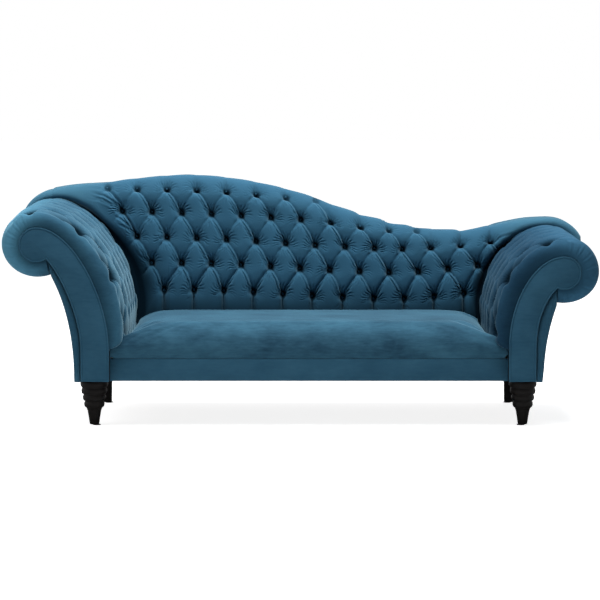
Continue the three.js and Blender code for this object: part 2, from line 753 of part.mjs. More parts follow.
// The smooth roll of the back that goes round the rear end of an arm's scroll.
function shoulderGeometry(arm) {
  const sections = [];
  const steps = 12;
  for (let i = 0; i <= steps; i += 1) {
    const t = i / steps;
    const angle = THREE.MathUtils.lerp(arm.tuckAngle, 90, t);
    const rise = Math.sqrt(Math.max(0, Math.sin(THREE.MathUtils.degToRad(angle))));
    const share = 1 + arm.shoulderRise * (arm.side < 0 ? rise ** 2.4 : rise);
    const low = armPoint(arm, 0, t, BASE_FOAM[1] + 0.02);
    const top = armPoint(arm, 0, t, share);
    const along = t === 1 ? 1.5 : 0;
    low.x = arm.side * (low.x + along);
    top.x = arm.side * Math.min(top.x + along, SHOULDER_REACH);
    sections.push(shoulderSection(low, top));
  }
  return ringSolid(
    sections.map(({ ring }) => ring), [sections[0].outline, sections.at(-1).outline],
  );
}

function shoulderSection(low, top) {
  const ring = [];
  const outline = [];
  const add = (share, y) => {
    const place = low.clone().lerp(top, share);
    ring.push(new THREE.Vector3(place.x, y(place.y), place.y));
    outline.push(new THREE.Vector2(share, y(700) / 100));
  };
  add(0, (z) => frontFaceY(z) + 4);
  add(0.45, (z) => frontFaceY(z) + 6);
  add(0.8, (z) => frontFaceY(z) + 18);
  add(1, (z) => frontFaceY(z) + 48);
  add(1, (z) => rearFaceY(z) - 40);
  add(0.85, (z) => rearFaceY(z) - 14);
  add(0.35, (z) => rearFaceY(z) - 2);
  add(0, (z) => rearFaceY(z) - 6);
  return { ring, outline };
}

// The top edge of a flat back piece that sits a given depth below the padded top.
function topEdge(x0, x1, below, count) {
  const points = [];
  for (let i = 0; i <= count; i += 1) {
    const x = THREE.MathUtils.lerp(x0, x1, i / count);
    points.push([x, backTopHeight(x) - below]);
  }
  return points;
}

function addBack() {
  const lean = (z) => BACK_LEAN * (z - BACK_FACE_HEIGHT);
  const layer = (outline, depth, thickness) => slab(
    outline, BACK_FACE_Y + depth + lean(0), thickness, BACK_LEAN,
  );
  const span = { left: -684, right: 741 };
  const panel = (below) => [
    [span.left, PAD_BOTTOM], [span.right, PAD_BOTTOM], ...topEdge(span.right, span.left, below, 24),
  ];
  const underTop = TOP_COVER + 2;
  addPiece('back_pad', backPadGeometry(), 'velvet');
  addPiece('back_foam', layer(panel(underTop), PAD_THICKNESS + 1, 30), 'foam');
  addPiece('back_webbing', layer(panel(underTop), PAD_THICKNESS + 31.5, 2.5), 'hessian');
  const railHeight = 42;
  const railDepth = PAD_THICKNESS + 35;
  const railEnds = { left: -800, right: 860 };
  addPiece('back_top_rail', layer([
    ...topEdge(railEnds.left, railEnds.right, underTop + railHeight, 28),
    ...topEdge(railEnds.right, railEnds.left, underTop, 28),
  ], railDepth, 40), 'beech');
  for (const [name, x] of [['left', -640], ['middle', 31], ['right', 700]]) {
    addPiece(`back_${name}_post`, layer([
      [x - 24, RAIL_TOP + GAP], [x + 24, RAIL_TOP + GAP],
      ...topEdge(x + 24, x - 24, underTop + railHeight + 1, 2),
    ], railDepth, 40), 'beech');
  }
  for (const [name, arm] of Object.entries(ARMS)) {
    addPiece(`${name}_shoulder_roll`, shoulderGeometry(arm), 'velvet');
  }
  addPiece('outside_back', slab(
    outsideBackOutline(), rearFaceY(0) - OUTSIDE_BACK, OUTSIDE_BACK, REAR_LEAN, 2,
  ), 'velvet');
}

// The outside back goes round both scrolls and follows the top edge between them.
function outsideBackOutline() {
  const armSide = (arm) => {
    const points = coverOuterEdge(arm).reverse();
    const inset = BASE_FOAM[1] - 0.02;
    points.pop();
    points.push(armPoint(arm, 0, 0, inset).add(new THREE.Vector2(-4, 0)));
    for (let i = 1; i <= 12; i += 1) {
      points.push(armPoint(arm, 0, i / 12, inset));
    }
    points[0].y = FRAME_BOTTOM - 1;
    return points.map((point) => [arm.side * point.x, point.y]);
  };
  const ends = ARMS.left.scrollU - 3;
  return [
    ...armSide(ARMS.right), ...topEdge(ends, -ends, TOP_COVER + 2, 30), ...armSide(ARMS.left).reverse(),
  ];
}

// Legs with their bolts, nuts and glides.
function lathe(profile, segments) {
  const geometry = new THREE.LatheGeometry(profile.map(([r, z]) => new THREE.Vector2(r, z)), segments);
  geometry.rotateX(Math.PI / 2);
  return facingOut(bareGeometry(geometry));
}

const BOLT = { radius: 4, bottom: 140, top: 226, hole: 4.4, blockHole: 5.4 };

function frontLegGeometry() {
  const profile = [[0, GLIDE], [17, GLIDE], [18.5, 8], [22, 40], [26, 68], [29.5, 82]];
  // Four rings like a beehive, each smaller than the one above it.
  const rings = [
    { radius: 38.5, bottom: 87, top: 107 },
    { radius: 43.5, bottom: 107, top: 128 },
    { radius: 48, bottom: 128, top: 150 },
    { radius: 51, bottom: 150, top: 172 },
  ];
  for (const { radius, bottom, top } of rings) {
    profile.push([radius - 5, bottom], [radius, (bottom * 2 + top) / 3]);
    profile.push([radius, (bottom + top * 2) / 3]);
  }
  profile.push([47, 174], [47, LEG_TOP], [BOLT.hole, LEG_TOP], [BOLT.hole, BOLT.bottom - 2]);
  profile.push([0, BOLT.bottom - 2]);
  return lathe(profile, 20);
}

// A square leg that tapers to its foot and flares a little at the top.
function rearLegGeometry() {
  const levels = [
    [GLIDE, REAR_LEG_FOOT], [150, REAR_LEG_WIDTH], [166, REAR_LEG_TOP_WIDTH], [LEG_TOP, REAR_LEG_TOP_WIDTH],
  ];
  const rings = levels.map(([z, width]) => [[-1, -1], [1, -1], [1, 1], [-1, 1]].map(
    ([x, y]) => new THREE.Vector3((x * width) / 2, (y * width) / 2, z),
  ));
  const cap = rings[0].map((point) => new THREE.Vector2(point.x, point.y));
  const hole = new THREE.CylinderGeometry(BOLT.hole, BOLT.hole, 60, 12);
  hole.rotateX(Math.PI / 2);
  hole.translate(0, 0, BOLT.bottom - 2 + 30);
  return cutFrom(ringSolid(rings, [cap, cap]), [hole]);
}

function addLegs() {
  const corners = [['front', FRONT_LEG_Y, frontLegGeometry], ['rear', REAR_LEG_Y, rearLegGeometry]];
  for (const [side, arm] of Object.entries(ARMS)) {
    for (const [end, y, makeLeg] of corners) {
      const x = arm.side * arm.legU;
      const at = (geometry) => geometry.translate(x, y, 0);
      const blockY = end === 'front' ? [y - 50, y + 45] : [y - 36, REAR_BOTTOM_Y - OUTSIDE_BACK - BOARD - 2];
      const hole = new THREE.CylinderGeometry(BOLT.blockHole, BOLT.blockHole, 80, 12);
      hole.rotateX(Math.PI / 2);
      hole.translate(x, y, 200);
      addPiece(`${side}_${end}_leg_block`, cutFrom(armBlock(
        arm, [arm.railU + 25.5, arm.legU + 46], blockY, [FRAME_BOTTOM, BLOCK_TOP],
      ), [hole]), 'beech');
      addPiece(`${side}_${end}_leg`, at(makeLeg()), 'blackWood');
      addPiece(`${side}_${end}_leg_bolt`, at(lathe([
        [0, BOLT.bottom], [BOLT.radius, BOLT.bottom], [BOLT.radius, BOLT.top], [0, BOLT.top],
      ], 12)), 'steel');
      addPiece(`${side}_${end}_tee_nut`, at(lathe([
        [BOLT.hole, 206], [5, 206], [5, BLOCK_TOP + 0.4], [11, BLOCK_TOP + 0.4], [11, BLOCK_TOP + 2],
        [BOLT.hole, BLOCK_TOP + 2], [BOLT.hole, 206],
      ], 12)), 'steel');
      addPiece(`${side}_${end}_glide`, at(lathe([
        [0, 0], [15, 0], [15, GLIDE - 0.4], [0, GLIDE - 0.4],
      ], 16)), 'felt');
    }
  }
}

addSeatFrame();
addSprings();
addSeat();
const seatRoom = swollen(seatGeometry(), 3);
for (const [name, arm] of Object.entries(ARMS)) {
  addArm(name, arm, seatRoom);
}
addBack();
addLegs();

export default couch;
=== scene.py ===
"""A button-tufted velvet fainting couch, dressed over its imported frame.

Sizes are in millimetres in the classes below, and every mesh is brought to metres when it is made.
X runs along the couch, Y from the front to the rear, Z up, with the origin on the floor.
"""

import logging
import math
from dataclasses import dataclass, field
from enum import Enum
from typing import Callable, Sequence

import bmesh
import bpy
import numpy as np
from mathutils import Matrix, Vector


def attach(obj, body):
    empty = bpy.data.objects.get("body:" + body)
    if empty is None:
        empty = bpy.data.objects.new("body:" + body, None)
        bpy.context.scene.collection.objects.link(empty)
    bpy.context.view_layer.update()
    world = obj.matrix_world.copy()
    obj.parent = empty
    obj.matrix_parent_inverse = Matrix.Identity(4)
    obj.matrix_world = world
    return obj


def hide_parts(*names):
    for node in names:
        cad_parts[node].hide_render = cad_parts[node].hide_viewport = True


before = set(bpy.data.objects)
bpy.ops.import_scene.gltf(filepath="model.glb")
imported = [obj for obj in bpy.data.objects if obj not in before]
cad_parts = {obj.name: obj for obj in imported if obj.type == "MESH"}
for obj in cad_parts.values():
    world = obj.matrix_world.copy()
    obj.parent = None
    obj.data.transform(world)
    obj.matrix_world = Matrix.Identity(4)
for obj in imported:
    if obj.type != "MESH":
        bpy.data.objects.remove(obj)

# Short names of the types that are used most
Array = np.ndarray
Piece = bpy.types.Object
Mesh = bmesh.types.BMesh
Material = bpy.types.Material
Socket = bpy.types.NodeSocket
Colour = tuple[float, float, float]

LOG = logging.getLogger("fainting_couch")

# Other materials of the velvet slot: lit and shaded copies with painted light and painted shade, and the
# seat's copy with broader random patches
SHADED_VELVET = "velvet_shaded_copy"
LIT_VELVET = "velvet_lit_copy"
SEAT_NAP = "velvet_brushed_flat"
COLLAR_LIT_VELVET = "velvet_lit_collars"

# Name of the vertex value of painted shade, which darkens pits, creases and other places where shade falls
PAINTED_SHADE_LAYER = "hollow"

# A millimetre in metres, and how near two vertices are one
MM = 0.001
WELD = 1e-6

# Numbers of the Mix node's colour sockets, whose names it uses more than once
COLOUR_A = 6
COLOUR_B = 7
MIXED_COLOUR = 2

# Sizes that several sub-assemblies share
FRONT = -395.0
FRAME_BOTTOM = 178.0
PAD_BOTTOM = 260.0
SEAM_HEIGHT = 258.0
SEAT_EDGE_FRONT = FRONT + 45.0


class Slot(str, Enum):
    """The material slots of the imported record."""

    VELVET = "velvet"
    BEECH = "beech"
    PLYWOOD = "plywood"
    FOAM = "foam"
    HESSIAN = "hessian"
    STEEL = "steel"
    BLACK_WOOD = "black_wood"
    CAMBRIC = "cambric"
    FELT = "felt"


# Shader tools


class Value:
    """A number socket of a material that adds Math nodes where it stands in an expression."""

    def __init__(self, shader: "Shader", socket: Socket) -> None:
        """Wraps the output socket that carries the number."""
        self.shader = shader
        self.socket = socket

    def math(self, operation: str, first: "Value | float", second: "Value | float") -> "Value":
        """Adds a Math node with these two inputs."""
        return self.shader.value("ShaderNodeMath", {"operation": operation}, {0: first, 1: second})

    def __add__(self, other: "Value | float") -> "Value":
        """self + other."""
        return self.math("ADD", self, other)

    def __sub__(self, other: "Value | float") -> "Value":
        """self - other."""
        return self.math("SUBTRACT", self, other)

    def __rsub__(self, other: float) -> "Value":
        """other - self."""
        return self.math("SUBTRACT", other, self)

    def __mul__(self, other: "Value | float") -> "Value":
        """self * other."""
        return self.math("MULTIPLY", self, other)

    __radd__ = __add__
    __rmul__ = __mul__


class Shader:
    """Builds the node tree of one material or world."""

    def __init__(self, owner: "Material | bpy.types.World") -> None:
        """Starts with an empty tree.

        Args:
            owner: The material or world that the tree belongs to.
        """
        self.owner = owner
        self.owner.use_nodes = True
        self.tree = owner.node_tree
        self.tree.nodes.clear()

    def node(self, kind: str, settings: dict | None = None, inputs: dict | None = None) -> bpy.types.Node:
        """Adds one node.

        Args:
            kind: The node's type name.
            settings: Its properties, set before its sockets.
            inputs: Values, sockets or values in expressions for its input sockets.

        Returns:
            The new node.
        """
        made = self.tree.nodes.new(kind)
        for key, setting in (settings or {}).items():
            setattr(made, key, setting)
        for key, given in (inputs or {}).items():
            target = made.inputs[key]
            if isinstance(given, Value):
                self.tree.links.new(given.socket, target)
            elif isinstance(given, Socket):
                self.tree.links.new(given, target)
            else:
                target.default_value = given
        return made

    def value(
        self, kind: str, settings: dict | None = None, inputs: dict | None = None, output: int | str = 0,
    ) -> Value:
        """Adds a node and wraps one of its outputs, by number or name."""
        return Value(self, self.node(kind, settings, inputs).outputs[output])

    def place(self, scale: Sequence[float] = (1, 1, 1)) -> Socket:
        """Object coordinates.

        Args:
            scale: How much they are stretched along each axis.

        Returns:
            The coordinates.
        """
        place = self.node("ShaderNodeTexCoord").outputs["Object"]
        mapped = self.node("ShaderNodeMapping", None, {"Vector": place, "Scale": tuple(scale)})
        return mapped.outputs["Vector"]

    def noise(self, vector: Socket, scale: float, detail: float = 2.0, rough: float = 0.5) -> Value:
        """A noise pattern from 0 to 1: a larger scale is finer, detail adds octaves and rough lifts them."""
        return self.value("ShaderNodeTexNoise", None, {
            "Vector": vector, "Scale": scale, "Detail": detail, "Roughness": rough,
        })

    def waves(self, direction: str, scale: float, distortion: float, detail: float) -> Value:
        """Bands across an axis: a larger scale is narrower, and distortion with detail lets them wander."""
        return self.value("ShaderNodeTexWave", {"wave_type": "BANDS", "bands_direction": direction}, {
            "Vector": self.place(), "Scale": scale, "Distortion": distortion, "Detail": detail,
        }, "Fac")

    def blend(self, amount: Value, dark: Colour, light: Colour) -> Socket:
        """Mixes two linear RGB colours.

        Args:
            amount: 0 gives the dark one and 1 the light one.
            dark: The first colour.
            light: The second colour.

        Returns:
            The mixed colour.
        """
        mix = self.node("ShaderNodeMix", {"data_type": "RGBA"}, {
            "Factor": amount, COLOUR_A: (*dark, 1.0), COLOUR_B: (*light, 1.0),
        })
        return mix.outputs[MIXED_COLOUR]

    def bump(self, height: Value, distance: float, strength: float = 1.0) -> Socket:
        """The normal of a height pattern, whose full step is the distance in metres."""
        return self.node("ShaderNodeBump", None, {
            "Height": height, "Distance": distance, "Strength": strength,
        }).outputs["Normal"]

    def surface(self, inputs: dict, amount: Value | None = None, other: dict | None = None) -> Material:
        """Ends the tree in one Principled shader, or in a mix of two.

        Args:
            inputs: The sockets of the first by name.
            amount: How much of the second there is.
            other: The sockets of the second.

        Returns:
            The finished material.
        """
        shader = self.node("ShaderNodeBsdfPrincipled", None, inputs)
        if other is not None:
            second = self.node("ShaderNodeBsdfPrincipled", None, other)
            shader = self.node("ShaderNodeMixShader", None, {
                0: amount, 1: shader.outputs[0], 2: second.outputs[0],
            })
        self.node("ShaderNodeOutputMaterial", None, {"Surface": shader.outputs[0]})
        return self.owner


# Finishes


@dataclass(frozen=True)
class Finish:
    """A surface whose colour runs between two tones.

    Attributes:
        name: The material's name.
        dark: Colour in the grain, lines and pores, or between fibres and threads.
        light: Colour of the rest.
    """

    name: str
    dark: Colour
    light: Colour

    def shader(self) -> Shader:
        """Starts the finish's own material."""
        return Shader(bpy.data.materials.new(self.name))

    def build(self) -> Material:
        """Makes the material, which each kind of finish does in its own way."""
        raise NotImplementedError


@dataclass(frozen=True)
class Velvet(Finish):
    """Short-pile velvet with random brushed patches, made lighter towards the couch's ends by painted light
    where that is given.

    Attributes:
        painted_shade_colour: Painted shade, the dark colour that the vertex value of painted shade mixes in
            at pits, creases and other places where shade falls.
        sheen_tint: Colour of the light on the pile's tips.
        sheen: Strength of that light.
        streak: Stretch of the brushed patches along each axis.
        painted_light_span: From and to which X, in metres, painted light makes the colour lighter. Empty for
            none.
        both_ways: Whether the painted light grows towards both ends alike.
        spread: How strong the brushed patches are.
    """

    painted_shade_colour: Colour = (0.0015, 0.007, 0.013)
    sheen_tint: Colour = (0.50, 0.81, 0.95)
    sheen: float = 0.56
    streak: tuple[float, float, float] = (1.0, 1.6, 1.6)
    painted_light_span: tuple[float, float] | tuple[()] = ()
    both_ways: bool = False
    spread: float = 1.0

    def build(self) -> Material:
        """Makes the velvet's material.

        Returns:
            The material.
        """
        shader = self.shader()
        patches = shader.noise(shader.place(self.streak), scale=5.5, detail=4.0, rough=0.62)
        strokes = shader.noise(shader.place((3.0, 14.0, 14.0)), scale=9.0, detail=3.0, rough=0.6)
        pile = shader.noise(shader.place(), scale=1400.0, detail=2.0, rough=0.7)
        tone = patches * 0.62 + strokes * 0.24 + pile * 0.14
        tone = (tone - 0.32) * 2.4 * self.spread
        # Painted light: the colour is made lighter towards one or both ends of the couch.
        if self.painted_light_span:
            turned = self._lit_share(shader)
            tone = tone * (1.0 - turned * 0.6) + turned * 0.8
        # Painted shade: the vertex value mixes in a dark colour at pits, creases and other places where
        # shade falls.
        hollow = shader.value("ShaderNodeAttribute", {"attribute_name": PAINTED_SHADE_LAYER}, None, "Fac")
        return shader.surface({
            "Base Color": shader.blend(tone, self.dark, self.light),
            "Roughness": 0.82 + pile * 0.16,
            "Normal": shader.bump(pile * 0.7 + strokes * 0.3, distance=0.0006, strength=0.5),
            "Sheen Weight": self.sheen,
            "Sheen Roughness": 0.38,
            "Sheen Tint": (*self.sheen_tint, 1.0),
            "Specular IOR Level": 0.04,
        }, hollow * 0.95, {
            "Base Color": (*self.painted_shade_colour, 1.0),
            "Roughness": 0.95,
            "Specular IOR Level": 0.02,
        })

    def _lit_share(self, shader: Shader) -> Value:
        """How much painted light there is along the couch, from 0 to 1.

        Args:
            shader: The material's node builder.

        Returns:
            The share, from 0 to 1.
        """
        along = shader.value("ShaderNodeSeparateXYZ", None, {"Vector": shader.place()})
        if self.both_ways:
            along = shader.value("ShaderNodeMath", {"operation": "ABSOLUTE"}, {0: along})
        return shader.value("ShaderNodeMapRange", {"interpolation_type": "SMOOTHSTEP"}, {
            "Value": along, "From Min": self.painted_light_span[0], "From Max": self.painted_light_span[1],
        })


@dataclass(frozen=True)
class StainedWood(Finish):
    """Turned or planed wood with a fine grain along its length.

    Attributes:
        stretch: Stretch of the grain along each axis.
        roughness: How matt it is.
        shine: Strength of its plain reflection.
    """

    stretch: tuple[float, float, float] = (40.0, 40.0, 4.0)
    roughness: float = 0.5
    shine: float = 0.5

    def build(self) -> Material:
        """Makes the wood's material.

        Returns:
            The material.
        """
        shader = self.shader()
        grain = shader.noise(shader.place(self.stretch), scale=6.0, detail=5.0, rough=0.6)
        fine = tuple(4 * stretch for stretch in self.stretch)
        pores = shader.noise(shader.place(fine), scale=8.0, detail=2.0, rough=0.5)
        wear = shader.noise(shader.place(), scale=22.0, detail=3.0, rough=0.6)
        return shader.surface({
            "Base Color": shader.blend(grain * 0.7 + pores * 0.3, self.dark, self.light),
            "Roughness": self.roughness - 0.08 + wear * 0.2,
            "Normal": shader.bump(grain * 0.5 + pores * 0.5, distance=0.0004, strength=0.35),
            "Specular IOR Level": self.shine,
        })


@dataclass(frozen=True)
class Plywood(Finish):
    """Sheet of crossed veneers, with their lines showing along the depth."""

    def build(self) -> Material:
        """Makes the plywood's material.

        Returns:
            The material.
        """
        shader = self.shader()
        layers = shader.waves("Y", scale=110.0, distortion=0.4, detail=2.0)
        grain = shader.noise(shader.place((4.0, 60.0, 60.0)), scale=7.0, detail=4.0)
        return shader.surface({
            "Base Color": shader.blend(layers * 0.45 + grain * 0.55, self.dark, self.light),
            "Roughness": 0.62 + grain * 0.2,
            "Normal": shader.bump(layers * 0.4 + grain * 0.6, distance=0.0004, strength=0.4),
        })


@dataclass(frozen=True)
class WovenCloth(Finish):
    """Plain weave, coarse for hessian and fine for cambric.

    Attributes:
        threads: Pattern scale of the weave.
    """

    threads: float

    def build(self) -> Material:
        """Makes the cloth's material.

        Returns:
            The material.
        """
        shader = self.shader()
        warp = shader.waves("X", scale=self.threads, distortion=0.8, detail=1.0)
        weft = shader.waves("Y", scale=self.threads, distortion=0.8, detail=1.0)
        slubs = shader.noise(shader.place((2.0, 30.0, 30.0)), scale=12.0, detail=3.0)
        weave = warp * 0.35 + weft * 0.35 + slubs * 0.3
        return shader.surface({
            "Base Color": shader.blend(weave, self.dark, self.light),
            "Roughness": 0.82 + slubs * 0.12,
            "Normal": shader.bump(weave, distance=0.0008, strength=0.6),
            "Sheen Weight": 0.2,
            "Sheen Roughness": 0.6,
        })


@dataclass(frozen=True)
class Foam(Finish):
    """Open-cell foam with small pores."""

    def build(self) -> Material:
        """Makes the foam's material.

        Returns:
            The material.
        """
        shader = self.shader()
        pores = shader.noise(shader.place(), scale=420.0, detail=3.0, rough=0.7)
        shade = shader.noise(shader.place(), scale=8.0)
        return shader.surface({
            "Base Color": shader.blend(pores * 0.7 + shade * 0.3, self.dark, self.light),
            "Roughness": 0.88 + pores * 0.1,
            "Normal": shader.bump(pores, distance=0.001, strength=0.6),
        })


@dataclass(frozen=True)
class DrawnSteel(Finish):
    """Bright wire or threaded steel with fine drawing lines."""

    def build(self) -> Material:
        """Makes the steel's material.

        Returns:
            The material.
        """
        shader = self.shader()
        lines = shader.noise(shader.place((200.0, 12.0, 200.0)), scale=5.0, detail=3.0)
        haze = shader.noise(shader.place(), scale=30.0, detail=3.0)
        return shader.surface({
            "Base Color": shader.blend(lines * 0.6 + haze * 0.4, self.dark, self.light),
            "Metallic": 1.0,
            "Roughness": 0.26 + haze * 0.22,
            "Normal": shader.bump(lines, distance=0.0002, strength=0.3),
        })


@dataclass(frozen=True)
class WoolFelt(Finish):
    """Pressed felt of the glides."""

    def build(self) -> Material:
        """Makes the felt's material.

        Returns:
            The material.
        """
        shader = self.shader()
        fibres = shader.noise(shader.place(), scale=600.0, detail=4.0, rough=0.7)
        return shader.surface({
            "Base Color": shader.blend(fibres, self.dark, self.light),
            "Roughness": 0.9 + fibres * 0.08,
            "Normal": shader.bump(fibres, distance=0.0008, strength=0.7),
            "Sheen Weight": 0.3,
        })


# Mesh tools


def ease(edge0: float, edge1: float, value: Array) -> Array:
    """Eases from 0 at the first edge to 1 at the second, in either direction."""
    share = np.clip((value - edge0) / (edge1 - edge0), 0.0, 1.0)
    return share * share * (3.0 - 2.0 * share)


def bell(value: Array, middle: float | Array, width: float) -> Array:
    """A rounded ridge: 1 at its middle, fading out to both sides."""
    return np.exp(-(((value - middle) / width) ** 2))


def read_line(at: Array, marks: Array, line: Array) -> Array:
    """Reads a line of points at places between its rising marks."""
    return np.stack([np.interp(at, marks, line[:, k]) for k in (0, 1)], -1)


def scatter(first: Array, second: Array, salt: float) -> Array:
    """Fixed numbers from 0 to 1, scattered over pairs of whole numbers. The salt picks another set."""
    mixed = np.sin(first * 127.1 + second * 311.7 + salt * 74.7) * 43758.5453
    return mixed - np.floor(mixed)


def bezier(points: Sequence[Sequence[float]], count: int) -> Array:
    """Points of a cubic Bezier curve.

    Args:
        points: Its four control points.
        count: Number of steps along it.

    Returns:
        Its points, one more than the steps.
    """
    t = np.linspace(0.0, 1.0, count + 1)[:, None]
    a, b, c, d = (np.asarray(p, float) for p in points)
    return a * (1 - t) ** 3 + 3 * b * t * (1 - t) ** 2 + 3 * c * t**2 * (1 - t) + d * t**3


def smooth_curve(knots: Sequence[Sequence[float]], at: Array) -> Array:
    """Height of a smooth curve through knots.

    Args:
        knots: (x, height) pairs in rising order of x.
        at: The places.

    Returns:
        The height at each place.
    """
    xs, hs = np.asarray(knots, float).T
    slopes = np.gradient(hs, xs)
    seg = np.clip(np.searchsorted(xs, at) - 1, 0, len(xs) - 2)
    width = xs[seg + 1] - xs[seg]
    t = np.clip((at - xs[seg]) / width, 0.0, 1.0)
    return (
        (2 * t**3 - 3 * t**2 + 1) * hs[seg] + (t**3 - 2 * t**2 + t) * width * slopes[seg]
        + (3 * t**2 - 2 * t**3) * hs[seg + 1] + (t**3 - t**2) * width * slopes[seg + 1]
    )


def new_piece(name: str, bm: Mesh, smooth: bool = True) -> Piece:
    """Makes an object from a finished bmesh, which is freed.

    Args:
        name: The piece's name.
        bm: Its mesh, in metres.
        smooth: Whether its faces are shaded smooth.

    Returns:
        The new object.
    """
    bmesh.ops.recalc_face_normals(bm, faces=bm.faces)
    mesh = bpy.data.meshes.new(name)
    bm.to_mesh(mesh)
    bm.free()
    mesh.polygons.foreach_set("use_smooth", [smooth] * len(mesh.polygons))
    piece = bpy.data.objects.new(name, mesh)
    bpy.context.scene.collection.objects.link(piece)
    return piece


def wrapped_grid(around: int, along: int, place: Callable[[Array, Array], Array]) -> Mesh:
    """A closed skin from one grid: it is bent round into a tube and its two ends are filled.

    Args:
        around: Number of steps round the section.
        along: Number of steps from one end to the other.
        place: Gives the points in millimetres from step numbers round and along, and as a fourth number
            its painted shade, which darkens the skin there.

    Returns:
        The closed mesh in metres.
    """
    bm = bmesh.new()
    bmesh.ops.create_grid(bm, x_segments=around, y_segments=along, size=1.0)
    flat = np.array([v.co[:2] for v in bm.verts])
    steps = np.rint((flat + 1.0) / 2.0 * (around, along)).astype(int)
    points = place(steps[:, 0] % around, steps[:, 1])
    shade = bm.verts.layers.float.new(PAINTED_SHADE_LAYER)
    for vertex, point, hollow in zip(bm.verts, (points[:, :3] * MM).tolist(), points[:, 3].tolist()):
        vertex.co = point
        vertex[shade] = hollow
    bmesh.ops.remove_doubles(bm, verts=bm.verts, dist=WELD)
    open_edges = [edge for edge in bm.edges if edge.is_boundary]
    bmesh.ops.holes_fill(bm, edges=open_edges)
    return bm


def spun(profile: Sequence[tuple[float, float]], centre: tuple[float, float], steps: int) -> Mesh:
    """Turns a profile about a vertical axis.

    Args:
        profile: (radius, height) pairs in millimetres, both ends on the axis.
        centre: X and Y of the axis in millimetres.
        steps: Number of steps round.

    Returns:
        The turned mesh in metres.
    """
    bm = bmesh.new()
    verts = [bm.verts.new(((centre[0] + r) * MM, centre[1] * MM, z * MM)) for r, z in profile]
    edges = [bm.edges.new(pair) for pair in zip(verts, verts[1:])]
    bmesh.ops.spin(
        bm, geom=verts + edges, cent=(centre[0] * MM, centre[1] * MM, 0.0), axis=(0, 0, 1),
        angle=2 * math.pi, steps=steps, use_merge=True,
    )
    bmesh.ops.remove_doubles(bm, verts=bm.verts, dist=WELD)
    return bm


def extruded(outline: Array, front: float, thickness: float, lean: float = 0.0) -> Mesh:
    """A plate from an outline in X and Z.

    Args:
        outline: Its points in millimetres.
        front: Y of its front face.
        thickness: Its thickness along Y.
        lean: How far it leans back for each millimetre of height.

    Returns:
        The plate's mesh in metres.
    """
    bm = bmesh.new()
    verts = [bm.verts.new((x * MM, (front + lean * z) * MM, z * MM)) for x, z in outline]
    face = bm.faces.new(verts)
    made = bmesh.ops.extrude_face_region(bm, geom=[face], use_keep_orig=True)
    moved = [item for item in made["geom"] if isinstance(item, bmesh.types.BMVert)]
    bmesh.ops.translate(bm, verts=moved, vec=(0.0, thickness * MM, 0.0))
    bmesh.ops.recalc_face_normals(bm, faces=bm.faces)
    return bm


def round_edges(bm: Mesh, edges: Sequence[bmesh.types.BMEdge], radius: float, segments: int = 3) -> None:
    """Rounds edges of a mesh to a radius in millimetres, in so many segments."""
    bmesh.ops.bevel(
        bm, geom=edges, offset=radius * MM, segments=segments, profile=0.5, affect="EDGES", material=-1,
    )


def rounded_box(low: Sequence[float], high: Sequence[float], radius: float) -> Mesh:
    """A block with rounded edges.

    Args:
        low: Its lowest corner in millimetres.
        high: Its highest corner.
        radius: The radius of its edges.

    Returns:
        The block's mesh in metres.
    """
    bm = bmesh.new()
    bmesh.ops.create_cube(bm, size=1.0)
    size = [(b - a) * MM for a, b in zip(low, high)]
    middle = [(a + b) / 2 * MM for a, b in zip(low, high)]
    bmesh.ops.scale(bm, vec=size, verts=bm.verts)
    bmesh.ops.translate(bm, vec=middle, verts=bm.verts)
    round_edges(bm, bm.edges[:], radius, segments=4)
    return bm


# Shapes that several pieces share


@dataclass(frozen=True)
class Neck:
    """The curve of a section line from the top of the scroll down to the seat.

    Attributes:
        handle_top: Length of its handle at the top of the scroll.
        u: Its distance from the middle of the couch where it ends.
        handle: Length of its handle there.
        z: Its height there.
    """

    handle_top: float
    u: float
    handle: float
    z: float


